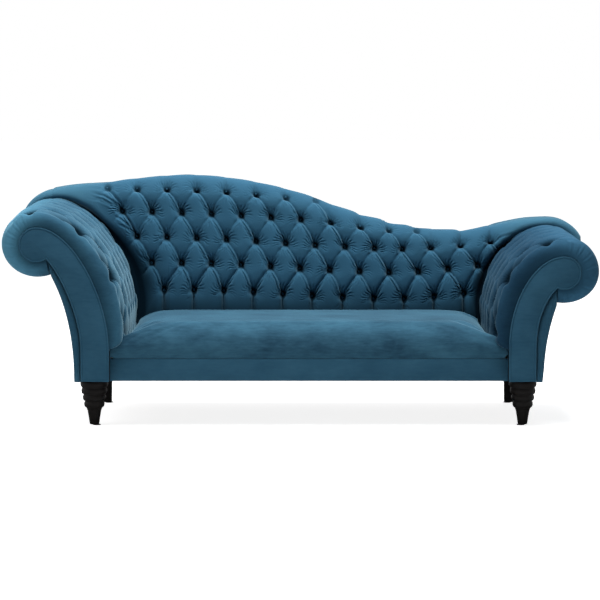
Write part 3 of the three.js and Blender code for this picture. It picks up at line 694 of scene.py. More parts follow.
@dataclass(frozen=True)
class ArmSection:
    """An arm's section across its width. Distances u run outwards from the middle of the couch.

    Attributes:
        side: -1 at the left, 1 at the right.
        scroll_z: Height of the scroll's centre.
        under_radius: The padded roll's radius straight under the scroll.
        cusp_angle: Where the board's edge starts under the scroll, in degrees.
        tuck_angle: Where the padded roll starts there.
        shoulder_rise: How far the collar stands over the roll, as a share of the roll's thickness.
        shoulder_power: How late the collar rises on its way up.
        board_outer: The board's outer edge: a handle point, then u, handle and height of its end.
        cover_outer: Control points of the outside cover's edge.
        anchor: Where the first row of buttons lies.
        shoulder_bump: More rise of the collar half way up.
    """

    side: int
    scroll_z: float
    board_radius: float
    under_radius: float
    cusp_angle: float
    tuck_angle: float
    shoulder_rise: float
    shoulder_power: float
    board_neck: Neck
    roll_neck: Neck
    board_outer: tuple[tuple[float, float], float, float, float]
    cover_outer: tuple[tuple[float, float], tuple[float, float], tuple[float, float], tuple[float, float]]
    cover_u: float
    anchor: tuple[float, float]
    shoulder_bump: float = 0.0
    scroll_u: float = 980.0
    roll_radius: float = 129.0
    samples: int = 160

    def _line(self, radius: float, start: float, under: float, neck: Neck) -> Array:
        """Points of one section line: round the scroll, down the neck, then straight down.

        Args:
            radius: The scroll's radius.
            start: The angle where the line starts under the scroll.
            under: The radius straight under the scroll.
            neck: The rest of the line.

        Returns:
            The points, three equal runs of them.
        """
        angle = np.radians(np.linspace(start, 90.0, self.samples + 1))
        reach = radius + (under - radius) * np.maximum(0.0, -np.sin(angle)) ** 2
        arc = np.stack([self.scroll_u + reach * np.cos(angle), self.scroll_z + reach * np.sin(angle)], 1)
        top = (self.scroll_u, self.scroll_z + radius)
        curve = bezier([
            top, (top[0] - neck.handle_top, top[1]), (neck.u, neck.z + neck.handle), (neck.u, neck.z),
        ], self.samples)
        drop = np.linspace((neck.u, neck.z), (neck.u, PAD_BOTTOM), self.samples + 1)
        return np.concatenate([arc, curve[1:], drop[1:]])

    def board_line(self) -> Array:
        """The scroll board's edge."""
        return self._line(self.board_radius, self.cusp_angle, self.board_radius, self.board_neck)

    def roll_line(self) -> Array:
        """The outside of the padded roll."""
        return self._line(self.roll_radius, self.tuck_angle, self.under_radius, self.roll_neck)

    def board_outer_edge(self, count: int) -> Array:
        """The board's outer edge, from the cusp under the scroll and down to the frame.

        Args:
            count: Number of steps of its curved part.

        Returns:
            The points of the edge.
        """
        handle, u, bend, z = self.board_outer
        curve = bezier([self.board_line()[0], handle, (u, z + bend), (u, z)], count)
        return np.concatenate([curve, [(u, FRAME_BOTTOM)]])

    def cover_outer_edge(self, count: int) -> Array:
        """The outside cover's edge, in so many steps from under the roll, and down to the frame."""
        return np.concatenate([bezier(self.cover_outer, count), [(self.cover_u, FRAME_BOTTOM)]])


TALL_ARM = ArmSection(
    side=-1, scroll_z=688, board_radius=64, under_radius=119, cusp_angle=-125, tuck_angle=-112,
    shoulder_rise=0.6, shoulder_power=1.2,
    board_neck=Neck(135, 714, 190, 300), roll_neck=Neck(150, 655, 205, 400),
    board_outer=((898, 590), 818, 130, 300),
    cover_outer=((931, 577), (893, 505), (852, 400), (846, 226)), cover_u=845, anchor=(818, 741),
    shoulder_bump=-0.09,
)
LOW_ARM = ArmSection(
    side=1, scroll_z=583, board_radius=61, under_radius=112, cusp_angle=-115, tuck_angle=-102,
    shoulder_rise=0.475, shoulder_power=0.35,
    board_neck=Neck(115, 777, 150, 320), roll_neck=Neck(135, 717, 170, 400),
    board_outer=((920, 497), 877, 110, 310),
    cover_outer=((956, 468), (938, 415), (915, 340), (909, 227)), cover_u=904, anchor=(780, 554),
    shoulder_bump=0.06,
)


@dataclass(frozen=True)
class BackShape:
    """Where the back leans, how high its top edge runs and where its button rows lie.

    Attributes:
        face_y: Y of the crown plane at the height face_height.
        lean: How far the front leans back for each millimetre of height.
        top: (x, height) knots of the top edge.
        stations: X at which the row heights are given.
        rows: Heights of the top line, the five rows and the seat line at the stations.
        first_x: X of the first button of the top row.
        last_x: X of the last button of the longest row.
        counts: Buttons in each row.
    """

    face_y: float = 157.0
    face_height: float = 300.0
    lean: float = 0.166
    rear_y: float = 355.0
    rear_lean: float = 0.0579
    top: tuple[tuple[float, float], ...] = (
        (-980, 861), (-920, 872), (-860, 878), (-799, 881), (-700, 895), (-600, 906), (-440, 915),
        (-281, 903), (-122, 875), (38, 832), (237, 763), (400, 721), (500, 708), (610, 699), (697, 704),
        (770, 718), (834, 732), (900, 743), (980, 745),
    )
    stations: tuple[float, ...] = (-770, -300, 100, 430, 760)
    rows: tuple[tuple[float, ...], ...] = (
        (950, 938, 893, 865, 880), (868, 853, 814, 775, 790), (772, 755, 729, 701, 722),
        (674, 658, 633, 622, 658), (568, 562, 539, 530, 562), (459, 457, 433, 425, 458),
        (364, 362, 338, 330, 363),
    )
    first_x: float = -767.0
    last_x: float = 767.0
    pitch: float = 118.0
    row_gap: float = 95.0
    counts: tuple[int, ...] = (8, 11, 13, 12, 11)
    longest_row: int = 2

    def front_y(self, z: Array) -> Array:
        """The crown plane of the tufting."""
        return self.face_y + self.lean * (z - self.face_height)

    def rear_face_y(self, z: Array) -> Array:
        """The outside of the back."""
        return self.rear_y + self.rear_lean * (z - FRAME_BOTTOM)

    def top_z(self, x: Array) -> Array:
        """The top edge of the padded back."""
        return smooth_curve(self.top, np.clip(x, self.top[0][0], self.top[-1][0]))

    def row_z(self, row: int, x: Array) -> Array:
        """The height of a row line. Row 0 is the top row of buttons."""
        knots = tuple(zip(self.stations, self.rows[row + 1]))
        return smooth_curve(knots, np.clip(x, self.stations[0], self.stations[-1]))

    def shift_at(self, x: Array, row: Array) -> Array:
        """How far the buttons stand from an even lattice along the couch.

        Args:
            x: Places along the couch.
            row: Their row numbers.

        Returns:
            The shifts in millimetres.
        """
        upper = -14.0 * ease(240.0, 520.0, x) * ease(3.4, 2.2, row)
        lower = -10.0 * ease(420.0, 60.0, x) * ease(3.2, 4.0, row)
        return upper + lower - 4.0 * ease(1.6, 2.4, row) * ease(-300.0, 100.0, x)

    def row_at(self, x: Array, z: Array) -> Array:
        """The row number at places on the back, growing downwards.

        Args:
            x: Places along the couch.
            z: Their heights.

        Returns:
            The row numbers, -1 on the top line and 5 on the seat line.
        """
        lowest = len(self.counts)
        heights = np.stack([self.row_z(row, x) for row in range(-1, lowest + 1)])
        row = np.full(x.shape, float(lowest))
        for upper in range(lowest, -1, -1):
            share = (heights[upper] - z) / (heights[upper] - heights[upper + 1])
            row = np.where(z >= heights[upper + 1], upper - 1 + share, row)
        return np.maximum(row, -1.6)


BACK = BackShape()


def held_between(value: Array, low: Array | float, high: Array | float) -> Array:
    """Clips a number softly.

    Args:
        value: The numbers.
        low: The least.
        high: The most.

    Returns:
        The clipped numbers.
    """
    soft = 0.2

    def over(excess: Array) -> Array:
        """The part above 0, eased in."""
        return np.where(excess > soft, excess, np.maximum(excess + soft, 0.0) ** 2 / (4 * soft))

    return value - over(value - high) + over(low - value)


@dataclass(frozen=True)
class Fan:
    """Small creases that run out from a button on one side of it.

    Attributes:
        middle: The direction of the fan's middle in radians, 0 to the right and growing downwards.
        spread: How far it opens to either side.
        count: How many creases a full turn would have.
        far: How far from the button they end.
        least: Depth at the buttons with the shallowest creases.
        more: How much deeper they are at the others.
        salt: Picks those buttons.
    """

    middle: float
    spread: float
    count: float
    far: float
    least: float
    more: float
    salt: float


@dataclass(frozen=True)
class Tufting:
    """Deep diamond tufting, as a height over the plane through the pillows' crowns.

    Columns and rows are counted in button pitches; the buttons of an odd row stand half a column over.
    Every pillow rises slowly from its lower left pleat and drops sharply into its upper right one, where
    the cloth is folded over.

    Attributes:
        pitch: Distance between buttons in a row.
        gap: Distance between rows.
        sag: How much lower the cover is along the pleats.
        crease: Depth of the sharp crease in a pleat.
        pit: Depth of a button below the crowns.
        hole: How much of that depth is the steep hole round the button itself.
        hole_radius: Radius of the hole.
        reach: Mean reach of the hollow round a button.
        slant: How much further the hollow reaches up to the right.
        bow: How far a pleat bows out between two buttons, in pitches.
        folds: Strength of the folded cloth beside the pleats.
        wrinkles: Strength of the small creases round the buttons.
        fans: Those creases: above, to the upper left, right and left, and below.
    """

    pitch: float
    gap: float
    sag: float = 12.5
    crease: float = 7.5
    pit: float = 46.0
    hole: float = 18.0
    hole_radius: float = 12.0
    reach: float = 22.0
    slant: float = 13.0
    bow: float = 0.07
    folds: float = 1.6
    wrinkles: float = 2.2
    fans: tuple[Fan, ...] = (
        Fan(-1.35, 1.5, 19.0, 52.0, 1.8, 1.8, 12.0), Fan(-2.45, 0.55, 25.0, 60.0, 0.0, 3.4, 8.0),
        Fan(0.0, 0.45, 29.0, 60.0, 0.0, 3.0, 9.0), Fan(np.pi, 0.45, 29.0, 60.0, 0.0, 3.0, 10.0),
        Fan(1.6, 0.9, 21.0, 50.0, 0.0, 2.2, 11.0),
    )

    def height(
        self, column: Array, row: Array, held: Array, has_button: Callable[[Array, Array], Array],
    ) -> Array:
        """The height of the cover.

        Args:
            column: Places along the rows.
            row: Places across the rows, growing downwards.
            held: The same, held at the rows beyond which the pleats run straight on.
            has_button: Gives 1 where a lattice point (its column and row) has a button.

        Returns:
            Heights in millimetres, mostly below 0.
        """
        u, v = column - held / 2, column + held / 2
        u, v = u - self.bow * np.abs(np.sin(np.pi * v)), v + self.bow * np.abs(np.sin(np.pi * u))
        iu, iv = np.floor(u), np.floor(v)
        fu, fv = u - iu, v - iv
        rise = 1.0 - (1.0 - fu) ** 3.0
        drop = np.sqrt(1.0 - fu**10)
        fullness = 3.2 + 3.0 * fu**2
        level = (1.0 - np.abs(1.0 - 2.0 * fv) ** fullness) ** 0.6
        flank = np.maximum(np.abs(2.0 * fu - 1.0) ** 1.6, 0.6 * self.low_rows(row))
        level = 1.0 - (1.0 - level) * (0.35 + 0.65 * flank)
        fill = 0.92 + 0.2 * scatter(iu, iv, 1.0)
        height = -self.sag * (1 - rise * drop * level * fill) + self._pleats(fu, fv, iu, iv, row, held)
        hollow, hole = np.zeros(column.shape), np.zeros(column.shape)
        for du in (0.0, 1.0):
            for dv in (0.0, 1.0):
                cu, cv = np.rint(u - fu + du), np.rint(v - fv + dv)
                across = (column - (cu + cv) / 2) * self.pitch
                down = (row - (cv - cu)) * self.gap
                there = has_button((cu + cv) / 2, cv - cu)
                distance = np.hypot(across, down) + 1e-6
                reach = self.reach + self.slant * (0.53 * across - 0.85 * down) / distance
                hollow = np.maximum(hollow, there * np.exp(-((distance / reach) ** 1.35)))
                hole = np.maximum(hole, there * np.exp(-((distance / self.hole_radius) ** 2.6)))
                height += there * self.wrinkles * self._gathers(across, down, distance, cu, cv)
        return height - (self.pit - self.hole - self.sag) * hollow - self.hole * hole

    @staticmethod
    def low_rows(row: Array) -> Array:
        """How far a row is among the low ones, where both pleats of a pillow are sharp."""
        return ease(2.4, 3.1, row)

    def _pleats(self, fu: Array, fv: Array, iu: Array, iv: Array, row: Array, held: Array) -> Array:
        """The creases between the pillows and the folded cloth beside them.

        Args:
            fu: Place across the pillow towards its upper right pleat.
            fv: Place across it from its upper left pleat.
            iu: The pillow's first number.
            iv: Its second number.
            row: The row number.
            held: The row number, held where the pleats run straight on.

        Returns:
            Heights below 0.
        """
        width = 100.0
        left, right = fv * width, (1 - fu) * width
        near_u = np.minimum(fu, 1 - fu) * width
        near_v = np.minimum(fv, 1 - fv) * width
        along_u = 0.55 + 0.45 * np.abs(np.cos(np.pi * fv)) ** 1.5
        along_v = 0.2 + 0.8 * np.abs(np.cos(np.pi * fu)) ** 2.0
        low = self.low_rows(row) * ease(4.6, 4.1, row)
        pleats = -self.crease * along_u * np.exp(-near_u / 4.0)
        pleats -= 0.4 * self.crease * along_v * np.exp(-near_v / 6.0)
        straight = ease(0.02, 0.3, np.abs(row - held))
        pleats -= 0.9 * self.crease * straight * np.exp(-near_u / 6.0)
        pleats -= 0.55 * self.crease * low * np.exp(-near_v / 4.5)
        amount = 0.5 + 0.7 * scatter(iu, iv, 3.0)
        along = ease(0.03, 0.16, fv) * ease(1.0, 0.6, fv)
        bend = 4.0 * fv
        folds = -4.0 * amount * along * bell(right, 8.5 + bend, 2.3)
        folds += 1.6 * amount * along * bell(right, 4.5 + bend, 2.3)
        second = ease(0.25, 0.5, fv) * ease(0.98, 0.8, fv) * scatter(iu, iv, 4.0)
        folds -= 3.2 * second * bell(right, 17.0, 2.3)
        soft = ease(0.35, 0.6, 1 - fu) * ease(0.0, 0.15, fu) * (scatter(iu, iv, 5.0) + low)
        folds -= 2.6 * soft * bell(left, 9.0, 2.6)
        return pleats + self.folds * (1.0 - 0.8 * straight) * folds

    def _gathers(self, across: Array, down: Array, distance: Array, cu: Array, cv: Array) -> Array:
        """The small creases that a button draws round itself.

        Args:
            across: Distance along the row from the button.
            down: Distance below it.
            distance: Distance from it.
            cu: The button's first number.
            cv: Its second number.

        Returns:
            Heights below 0.
        """
        phase = 6.3 * scatter(cu, cv, 7.0)
        turn = np.arctan2(down, across) + 0.10 * np.sin(distance / 8.0 + phase)
        creases = np.zeros(distance.shape)
        for fan in self.fans:
            off = np.abs((turn - fan.middle + np.pi) % (2 * np.pi) - np.pi)
            wave = (0.5 + 0.5 * np.cos(fan.count * turn + phase)) ** 3
            band = ease(9.0, 17.0, distance) * ease(fan.far, fan.far * 0.55, distance)
            depth = fan.least + fan.more * scatter(cu, cv, fan.salt)
            creases -= depth * ease(fan.spread, fan.spread * 0.5, off) * wave * band
        return creases


@dataclass
class Buttons:
    """Small covered buttons, each pulled down into the tufting."""

    radius: float = 6.5
    rise: float = 4.0
    steps: int = 12
    places: list[tuple[Vector, Vector]] = field(default_factory=list)

    def add(self, place: Sequence[float], outward: Sequence[float]) -> None:
        """Notes where a button's middle is, in millimetres, and the way it faces."""
        self.places.append((Vector(place), Vector(outward).normalized()))

    def build(self, name: str) -> Piece:
        """Makes all the buttons as one piece.

        Args:
            name: The piece's name.

        Returns:
            The new object.
        """
        r, h = self.radius, self.rise
        dome = [(r * 0.86, h * 0.62), (r * 0.5, h * 0.93), (0.0, h)]
        template = spun([(0.0, -3.0), (r * 0.8, -3.0), (r, 0.0), *dome], (0.0, 0.0), self.steps)
        shape = bpy.data.meshes.new("button_shape")
        template.to_mesh(shape)
        template.free()
        bm = bmesh.new()
        for place, outward in self.places:
            known = set(bm.verts)
            bm.from_mesh(shape)
            fresh = [vertex for vertex in bm.verts if vertex not in known]
            turn = outward.to_track_quat("Z", "Y").to_matrix().to_4x4()
            bmesh.ops.transform(bm, matrix=Matrix.Translation(place * MM) @ turn, verts=fresh)
        bpy.data.meshes.remove(shape)
        return new_piece(name, bm)


# Sub-assemblies


@dataclass
class TuftedBack:
    """The padded back with its buttons, its top roll and the two collars round the scrolls."""

    shape: BackShape = BACK
    column_step: float = BACK.pitch / 44
    collar_steps: int = 64
    front_steps: int = 230
    crest_steps: int = 40
    top_radius: float = 52.0
    top_crest: float = 92.0
    rear_radius: float = 26.0
    rear_fall: float = 14.0
    notch: float = 13.0
    deepest: float = 46.0
    cover: float = 46.0
    thickness: float = 48.0
    collar_inner: float = 0.40
    reach: float = 1112.0
    plain: float = -7.0
    plain_run: tuple[float, float] = (26.0, 80.0)
    gap_depth: float = 44.0
    widest: tuple[float, float] = (64.0, 34.0)
    pulls: tuple[tuple[tuple[tuple[float, float], ...], float], ...] = (
        (((-708, 782), (-742, 812), (-778, 834), (-838, 850)), 6.5),
        (((-712, 776), (-748, 802), (-786, 822), (-846, 838)), 5.5),
        (((-704, 790), (-722, 818), (-740, 840), (-760, 862)), 4.0),
        (((-660, 700), (-680, 738), (-700, 764), (-726, 786)), 4.0),
        (((-655, 690), (-682, 720), (-712, 742), (-748, 760)), 4.5),
        (((-648, 680), (-676, 700), (-706, 716), (-730, 724)), 3.5),
        (((-718, 588), (-700, 560), (-690, 530)), 3.0),
        (((-722, 770), (-756, 798), (-800, 818), (-850, 826)), 3.0),
        (((-652, 690), (-672, 726), (-690, 750), (-700, 770)), 2.0),
        (((-768, 852), (-790, 860), (-830, 866), (-880, 864)), 2.5),
        (((-600, 575), (-640, 600), (-668, 640)), 2.5),
        (((760, 650), (790, 672), (830, 686), (880, 690)), 2.2),
        (((752, 640), (768, 614), (790, 590)), 3.0),
        (((716, 552), (740, 540), (764, 516)), 3.0),
    )

    def stations(self) -> tuple[Array, Array, Array]:
        """Where each cross-section starts and ends, from under the tall scroll to under the low one.

        Returns:
            Lower points, upper points and how full each section is at the rear.
        """
        ends = []
        for arm in (TALL_ARM, LOW_ARM):
            runs = [np.concatenate(pair) for pair in zip(self._collar(arm), self._neck(arm))]
            ends.append([run[::-1] for run in runs] if arm.side > 0 else runs)
        xs = np.arange(ends[0][0][-1, 0] + self.column_step, ends[1][0][0, 0], self.column_step)
        low = np.stack([xs, np.full(xs.shape, PAD_BOTTOM)], 1)
        top = np.stack([xs, self.shape.top_z(xs)], 1)
        middle = (low, top, np.zeros(xs.shape))
        return tuple(np.concatenate(runs) for runs in zip(ends[0], middle, ends[1]))

    def _collar(self, arm: ArmSection) -> tuple[Array, Array, Array]:
        """Sections round the rear end of an arm's scroll.

        Args:
            arm: The arm.

        Returns:
            Lower points, upper points and how full each section is at the rear.
        """
        at = np.linspace(0, arm.samples, self.collar_steps + 1)[:-1]
        index = np.arange(3 * arm.samples + 1)
        near, far = read_line(at, index, arm.board_line()), read_line(at, index, arm.roll_line())
        angle = np.radians(arm.tuck_angle + (90.0 - arm.tuck_angle) * at / arm.samples)
        rise = np.maximum(0.0, np.sin(angle)) ** arm.shoulder_power
        bump = arm.shoulder_bump * np.sin(2 * np.clip(angle, 0.0, np.pi / 2))
        share = (1.0 + arm.shoulder_rise * rise + bump)[:, None]
        low = near + (far - near) * self.collar_inner
        top = near + (far - near) * share
        top[:, 0] = np.minimum(top[:, 0], self.reach)
        sides = (arm.side, 1)
        return low * sides, top * sides, np.ones(at.shape)

    def _neck(self, arm: ArmSection) -> tuple[Array, Array, Array]:
        """Sections that stand on an arm's neck, from the scroll's top to the seat.

        Args:
            arm: The arm.

        Returns:
            Lower points, upper points and fullness.
        """
        board, roll = arm.board_line(), arm.roll_line()
        line = (board + (roll - board) * self.collar_inner)[arm.samples:]
        us = np.arange(arm.scroll_u, line[:, 0].min(), -self.column_step)
        rising = line[: 2 * arm.samples]
        rising = rising[np.argsort(rising[:, 0])]
        low = np.stack([arm.side * us, np.interp(us, rising[:, 0], rising[:, 1])], 1)
        top = np.stack([arm.side * us, self.shape.top_z(arm.side * us)], 1)
        return low, top, ease(arm.scroll_u - 70.0, arm.scroll_u, us)

    @staticmethod
    def first_row(x: Array) -> Array:
        """The topmost row of buttons that the falling top edge leaves."""
        return ease(65.0, 130.0, x) + ease(480.0, 540.0, x)

    def sunk(self, x: Array, z: Array) -> Array:
        """How far the cover lies in front of (or behind) the crown plane.

        Args:
            x: Places along the couch.
            z: Their heights.

        Returns:
            Heights over the crown plane, below 0 behind it.
        """
        shape = self.shape
        last_row = len(shape.counts) - 1.0
        counts = np.array([*shape.counts, 0])
        row = shape.row_at(x, z)
        held = np.clip(row, 0.0, last_row)
        column = (x - shape.shift_at(x, held) - shape.first_x) / shape.pitch

        def has_button(at_column: Array, at_row: Array) -> Array:
            """1 at a lattice point with a button. Above the first row and below the last are none."""
            number, known = at_column - at_row / 2, np.clip(at_row, -1, last_row + 1).astype(int)
            return np.where((number > -0.5) & (number < counts[known] - 0.5), 1.0, 0.0)

        tufting = Tufting(shape.pitch, shape.row_gap)
        height = tufting.height(column, row, held_between(row, self.first_row(x), last_row), has_button)
        left = shape.first_x + held * shape.pitch / 2
        right = shape.last_x - np.abs(held - shape.longest_row) * shape.pitch / 2
        from_button, all_plain = self.plain_run
        plain = np.maximum(
            ease(left - from_button, left - all_plain, x), ease(right + from_button, right + all_plain, x),
        )
        return height * (1 - plain) + self.plain * plain + self._pulls(x, z)

    def groove(self, x: Array, z: Array) -> Array:
        """How deep the cover dives into the gap behind each arm.

        Args:
            x: Places along the couch.
            z: Their heights.

        Returns:
            Depths in millimetres.
        """
        depth = np.zeros(x.shape)
        narrowest, shallowest, batch = 12.0, 6.0, 4000
        for arm, widest in zip((TALL_ARM, LOW_ARM), self.widest):
            line = arm.roll_line()[::2]
            normal = np.gradient(line, axis=0) @ np.array([[0.0, -1.0], [1.0, 0.0]])
            normal /= np.hypot(*normal.T)[:, None]
            beside = np.nonzero(arm.side * x > 520.0)
            places = np.stack([arm.side * x[beside], z[beside]], 1)
            away = np.concatenate([
                self._away(places[start:start + batch], line, normal)
                for start in range(0, len(places), batch)
            ]) - 5.0
            low_down = ease(arm.scroll_z + 70.0, arm.scroll_z - 180.0, places[:, 1])
            width = narrowest + (widest - narrowest) * low_down
            rise = ease(-20.0, 60.0, places[:, 1] - arm.scroll_z)
            rise = np.maximum(rise, ease(arm.scroll_u - 40.0, arm.scroll_u - 100.0, places[:, 0]))
            deep = shallowest + (self.gap_depth - shallowest) * rise
            depth[beside] = deep * np.exp(-((np.maximum(away, 0.0) / width) ** 1.4))
        return depth

    @staticmethod
    def _away(places: Array, line: Array, normal: Array) -> Array:
        """Signed distance of places from a line.

        Args:
            places: The places.
            line: Points of the line.
            normal: The unit vectors that point away from it.

        Returns:
            The distances, below 0 inside.
        """
        offset = places[:, None, :] - line[None, :, :]
        nearest = (offset**2).sum(2).argmin(1)
        offset = offset[np.arange(len(places)), nearest]
        return np.hypot(*offset.T) * np.sign((offset * normal[nearest]).sum(1))

    def _pulls(self, x: Array, z: Array) -> Array:
        """Pleats that the first buttons draw across the plain collar.

        Args:
            x: Places along the couch.
            z: Their heights.

        Returns:
            Heights below 0.
        """
        depth = np.zeros(x.shape)
        for knots, deep in self.pulls:
            line = np.asarray(knots, float)
            nearest = np.full(x.shape, 1e6)
            share = np.zeros(x.shape)
            for number, (a, b) in enumerate(zip(line, line[1:])):
                run = b - a
                t = np.clip(((x - a[0]) * run[0] + (z - a[1]) * run[1]) / (run @ run), 0.0, 1.0)
                gap = np.hypot(x - a[0] - t * run[0], z - a[1] - t * run[1])
                share = np.where(gap < nearest, (number + t) / (len(line) - 1), share)
                nearest = np.minimum(nearest, gap)
            profile = 0.35 * bell(nearest, 8.0, 4.0) - bell(nearest, 0.0, 4.2)
            depth += deep * profile * ease(1.0, 0.55, share)
        return depth

    def section(self, low: Array, top: Array, full: Array) -> Array:
        """The closed outline of every station.

        Args:
            low: Lower points.
            top: Upper points.
            full: Fullness of each.

        Returns:
            The points by station and step round it, each with its painted shade.
        """
        height = np.hypot(*(top - low).T)[:, None]
        radius = np.minimum(self.top_radius, height * 0.6)
        crest = np.minimum(self.top_crest, height * 0.6)
        under = np.minimum(self.cover, height * 0.7)
        under = under + (height - 1.0 - under) * full[:, None]
        turn = np.linspace(0, np.pi / 2, self.crest_steps + 1)[None, 1:]
        rise = np.concatenate([
            (height - crest) * np.linspace(0, 1, self.front_steps + 1)[None, :],
            height - crest * (1 - np.sin(turn)),
        ], 1)
        depth = np.concatenate([np.zeros((len(low), self.front_steps + 1)), radius * (1 - np.cos(turn))], 1)
        facing = np.concatenate([np.zeros((1, self.front_steps + 1)), turn], 1) * np.ones_like(height)
        direction = (top - low) / height
        x, z = self._up(low, direction, rise)
        over = 0.85 - 0.45 * ease(20.0, 160.0, x) + 0.3 * ease(700.0, 760.0, x)
        lift = self.sunk(x, z)
        tufted = ease(-0.28, -0.08, self.shape.row_at(x, z) - self.first_row(x))
        # Painted shade in the deep tufting, weaker where the cover turns over the crest.
        hollow = (1 - 0.55 * np.sin(facing) ** 2) * ease(15.0, 34.0, -lift) * tufted
        lift = lift + (self.notch * np.tanh(lift / self.notch) * (1 - over) - lift) * np.sin(facing) ** 2
        lift = lift * (1 - full[:, None]) + self.plain * full[:, None] * np.cos(facing)
        groove = self.groove(x, z)
        lift = np.maximum(lift - groove * np.cos(facing), -self.deepest)
        x = x + direction[:, :1] * lift * np.sin(facing)
        z = z + direction[:, 1:] * lift * np.sin(facing)
        y = self.shape.front_y(z) + depth - lift * np.cos(facing)
        # Painted shade in the groove behind each arm and low down towards the seat, none on the full
        # sections round the scrolls.
        corner = 1.5 * groove / self.gap_depth * ease(900.0, 780.0, np.abs(x))
        shaded = np.maximum(0.92 * ease(520.0, 340.0, z), corner)
        hollow = np.clip(np.maximum(hollow, shaded) * (1 - full[:, None]), 0.0, 1.0)
        front = np.stack([x, y, z, hollow], 2)
        rear = self._rear(low, direction, height, under, full, lift[:, -1:])
        return np.concatenate([front, np.concatenate([rear, np.zeros_like(rear[:, :, :1])], 2)], 1)

    @staticmethod
    def _up(low: Array, direction: Array, rise: Array) -> tuple[Array, Array]:
        """X and Z at distances up each section."""
        return low[:, :1] + direction[:, :1] * rise, low[:, 1:] + direction[:, 1:] * rise

    def _rear(
        self, low: Array, direction: Array, height: Array, under: Array, full: Array, lift: Array,
    ) -> Array:
        """The top, the rear and the hidden side of every station.

        Args:
            low: Lower points.
            direction: Unit vectors up each section.
            height: Length of each.
            under: How far the cover comes down at the rear.
            full: Fullness of each.
            lift: How far the cover stands over the top edge.

        Returns:
            The points.
        """
        runs = []

        def add(rise: Array, from_rear: Array, weight: Array | float) -> None:
            """Adds one point to every station.

            Args:
                rise: How far up the section it is.
                from_rear: How far before the outside of the back.
                weight: 1 for that, and 0 for the padding's own rear.
            """
            x, z = self._up(low, direction, rise)
            rear = self.shape.rear_face_y(z) - from_rear
            front = self.shape.front_y(z) + self.thickness
            runs.append(np.concatenate([x, rear * weight + front * (1 - weight), z], 1))

        fall = self.rear_fall * ease(790.0, 640.0, np.abs(low[:, :1]))
        radius = np.minimum(self.rear_radius, height * 0.4)
        top_z = self._up(low, direction, height)[1]
        top_start = self.shape.front_y(top_z) + np.minimum(self.top_radius, height * 0.6)
        top_end = self.shape.rear_face_y(top_z) - radius
        for share in np.linspace(0, 1, 9)[1:-1]:
            x, z = self._up(low, direction, height + lift - fall * share**1.5)
            runs.append(np.concatenate([x, top_start + (top_end - top_start) * share, z], 1))
        for turn in np.linspace(0, np.pi / 2, 8):
            fallen = fall - lift * np.cos(turn)
            add(height - fallen - radius * (1 - np.cos(turn)), radius * (1 - np.sin(turn)), 1.0)
        for share in (0.35, 0.7, 1.0):
            fallen = fall * (1 - share)
            add(height - fallen - radius + (radius - under) * share, 0.0, 1.0)
        inner = full[:, None]
        for share in (0.25, 0.5, 0.75):
            add(height - under, 0.0, 1.0 - share * (1 - inner))
        for share in np.linspace(0, 1, 13):
            add((height - under) * (1 - share), 2.0, inner)
        return np.stack(runs, 1)

    def build(self) -> list[Piece]:
        """Makes the padded back and its buttons.

        Returns:
            The two pieces.
        """
        points = self.section(*self.stations())
        along, around = points.shape[:2]
        bm = wrapped_grid(around, along - 1, lambda i, j: points[j, i])
        cover = new_piece("tufted_back", bm)
        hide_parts("back_pad", "left_shoulder_roll", "right_shoulder_roll")
        return [cover, self.buttons(points)]

    def buttons(self, points: Array) -> Piece:
        """Makes the back's buttons, those on the crest turned with it.

        Args:
            points: The cover's points by station and step.

        Returns:
            The new object.
        """
        studs = Buttons()
        shape = self.shape
        steps = self.front_steps + self.crest_steps + 1
        front = points[:, :steps, :3].reshape(-1, 3)
        for row, count in enumerate(shape.counts):
            for number in range(count):
                x = np.array([shape.first_x + shape.pitch * (number + row / 2)])
                x = x + shape.shift_at(x, np.array([float(row)]))
                nearest = int(np.hypot(front[:, 0] - x, front[:, 2] - shape.row_z(row, x)).argmin())
                turn = math.pi / 2 * max(nearest % steps - self.front_steps, 0) / self.crest_steps
                outward = np.array([0.0, -math.cos(turn), math.sin(turn) - shape.lean * math.cos(turn)])
                studs.add(front[nearest] - (2.0 + 4.0 * math.sin(turn)) * outward, outward)
        return studs.build("back_buttons")


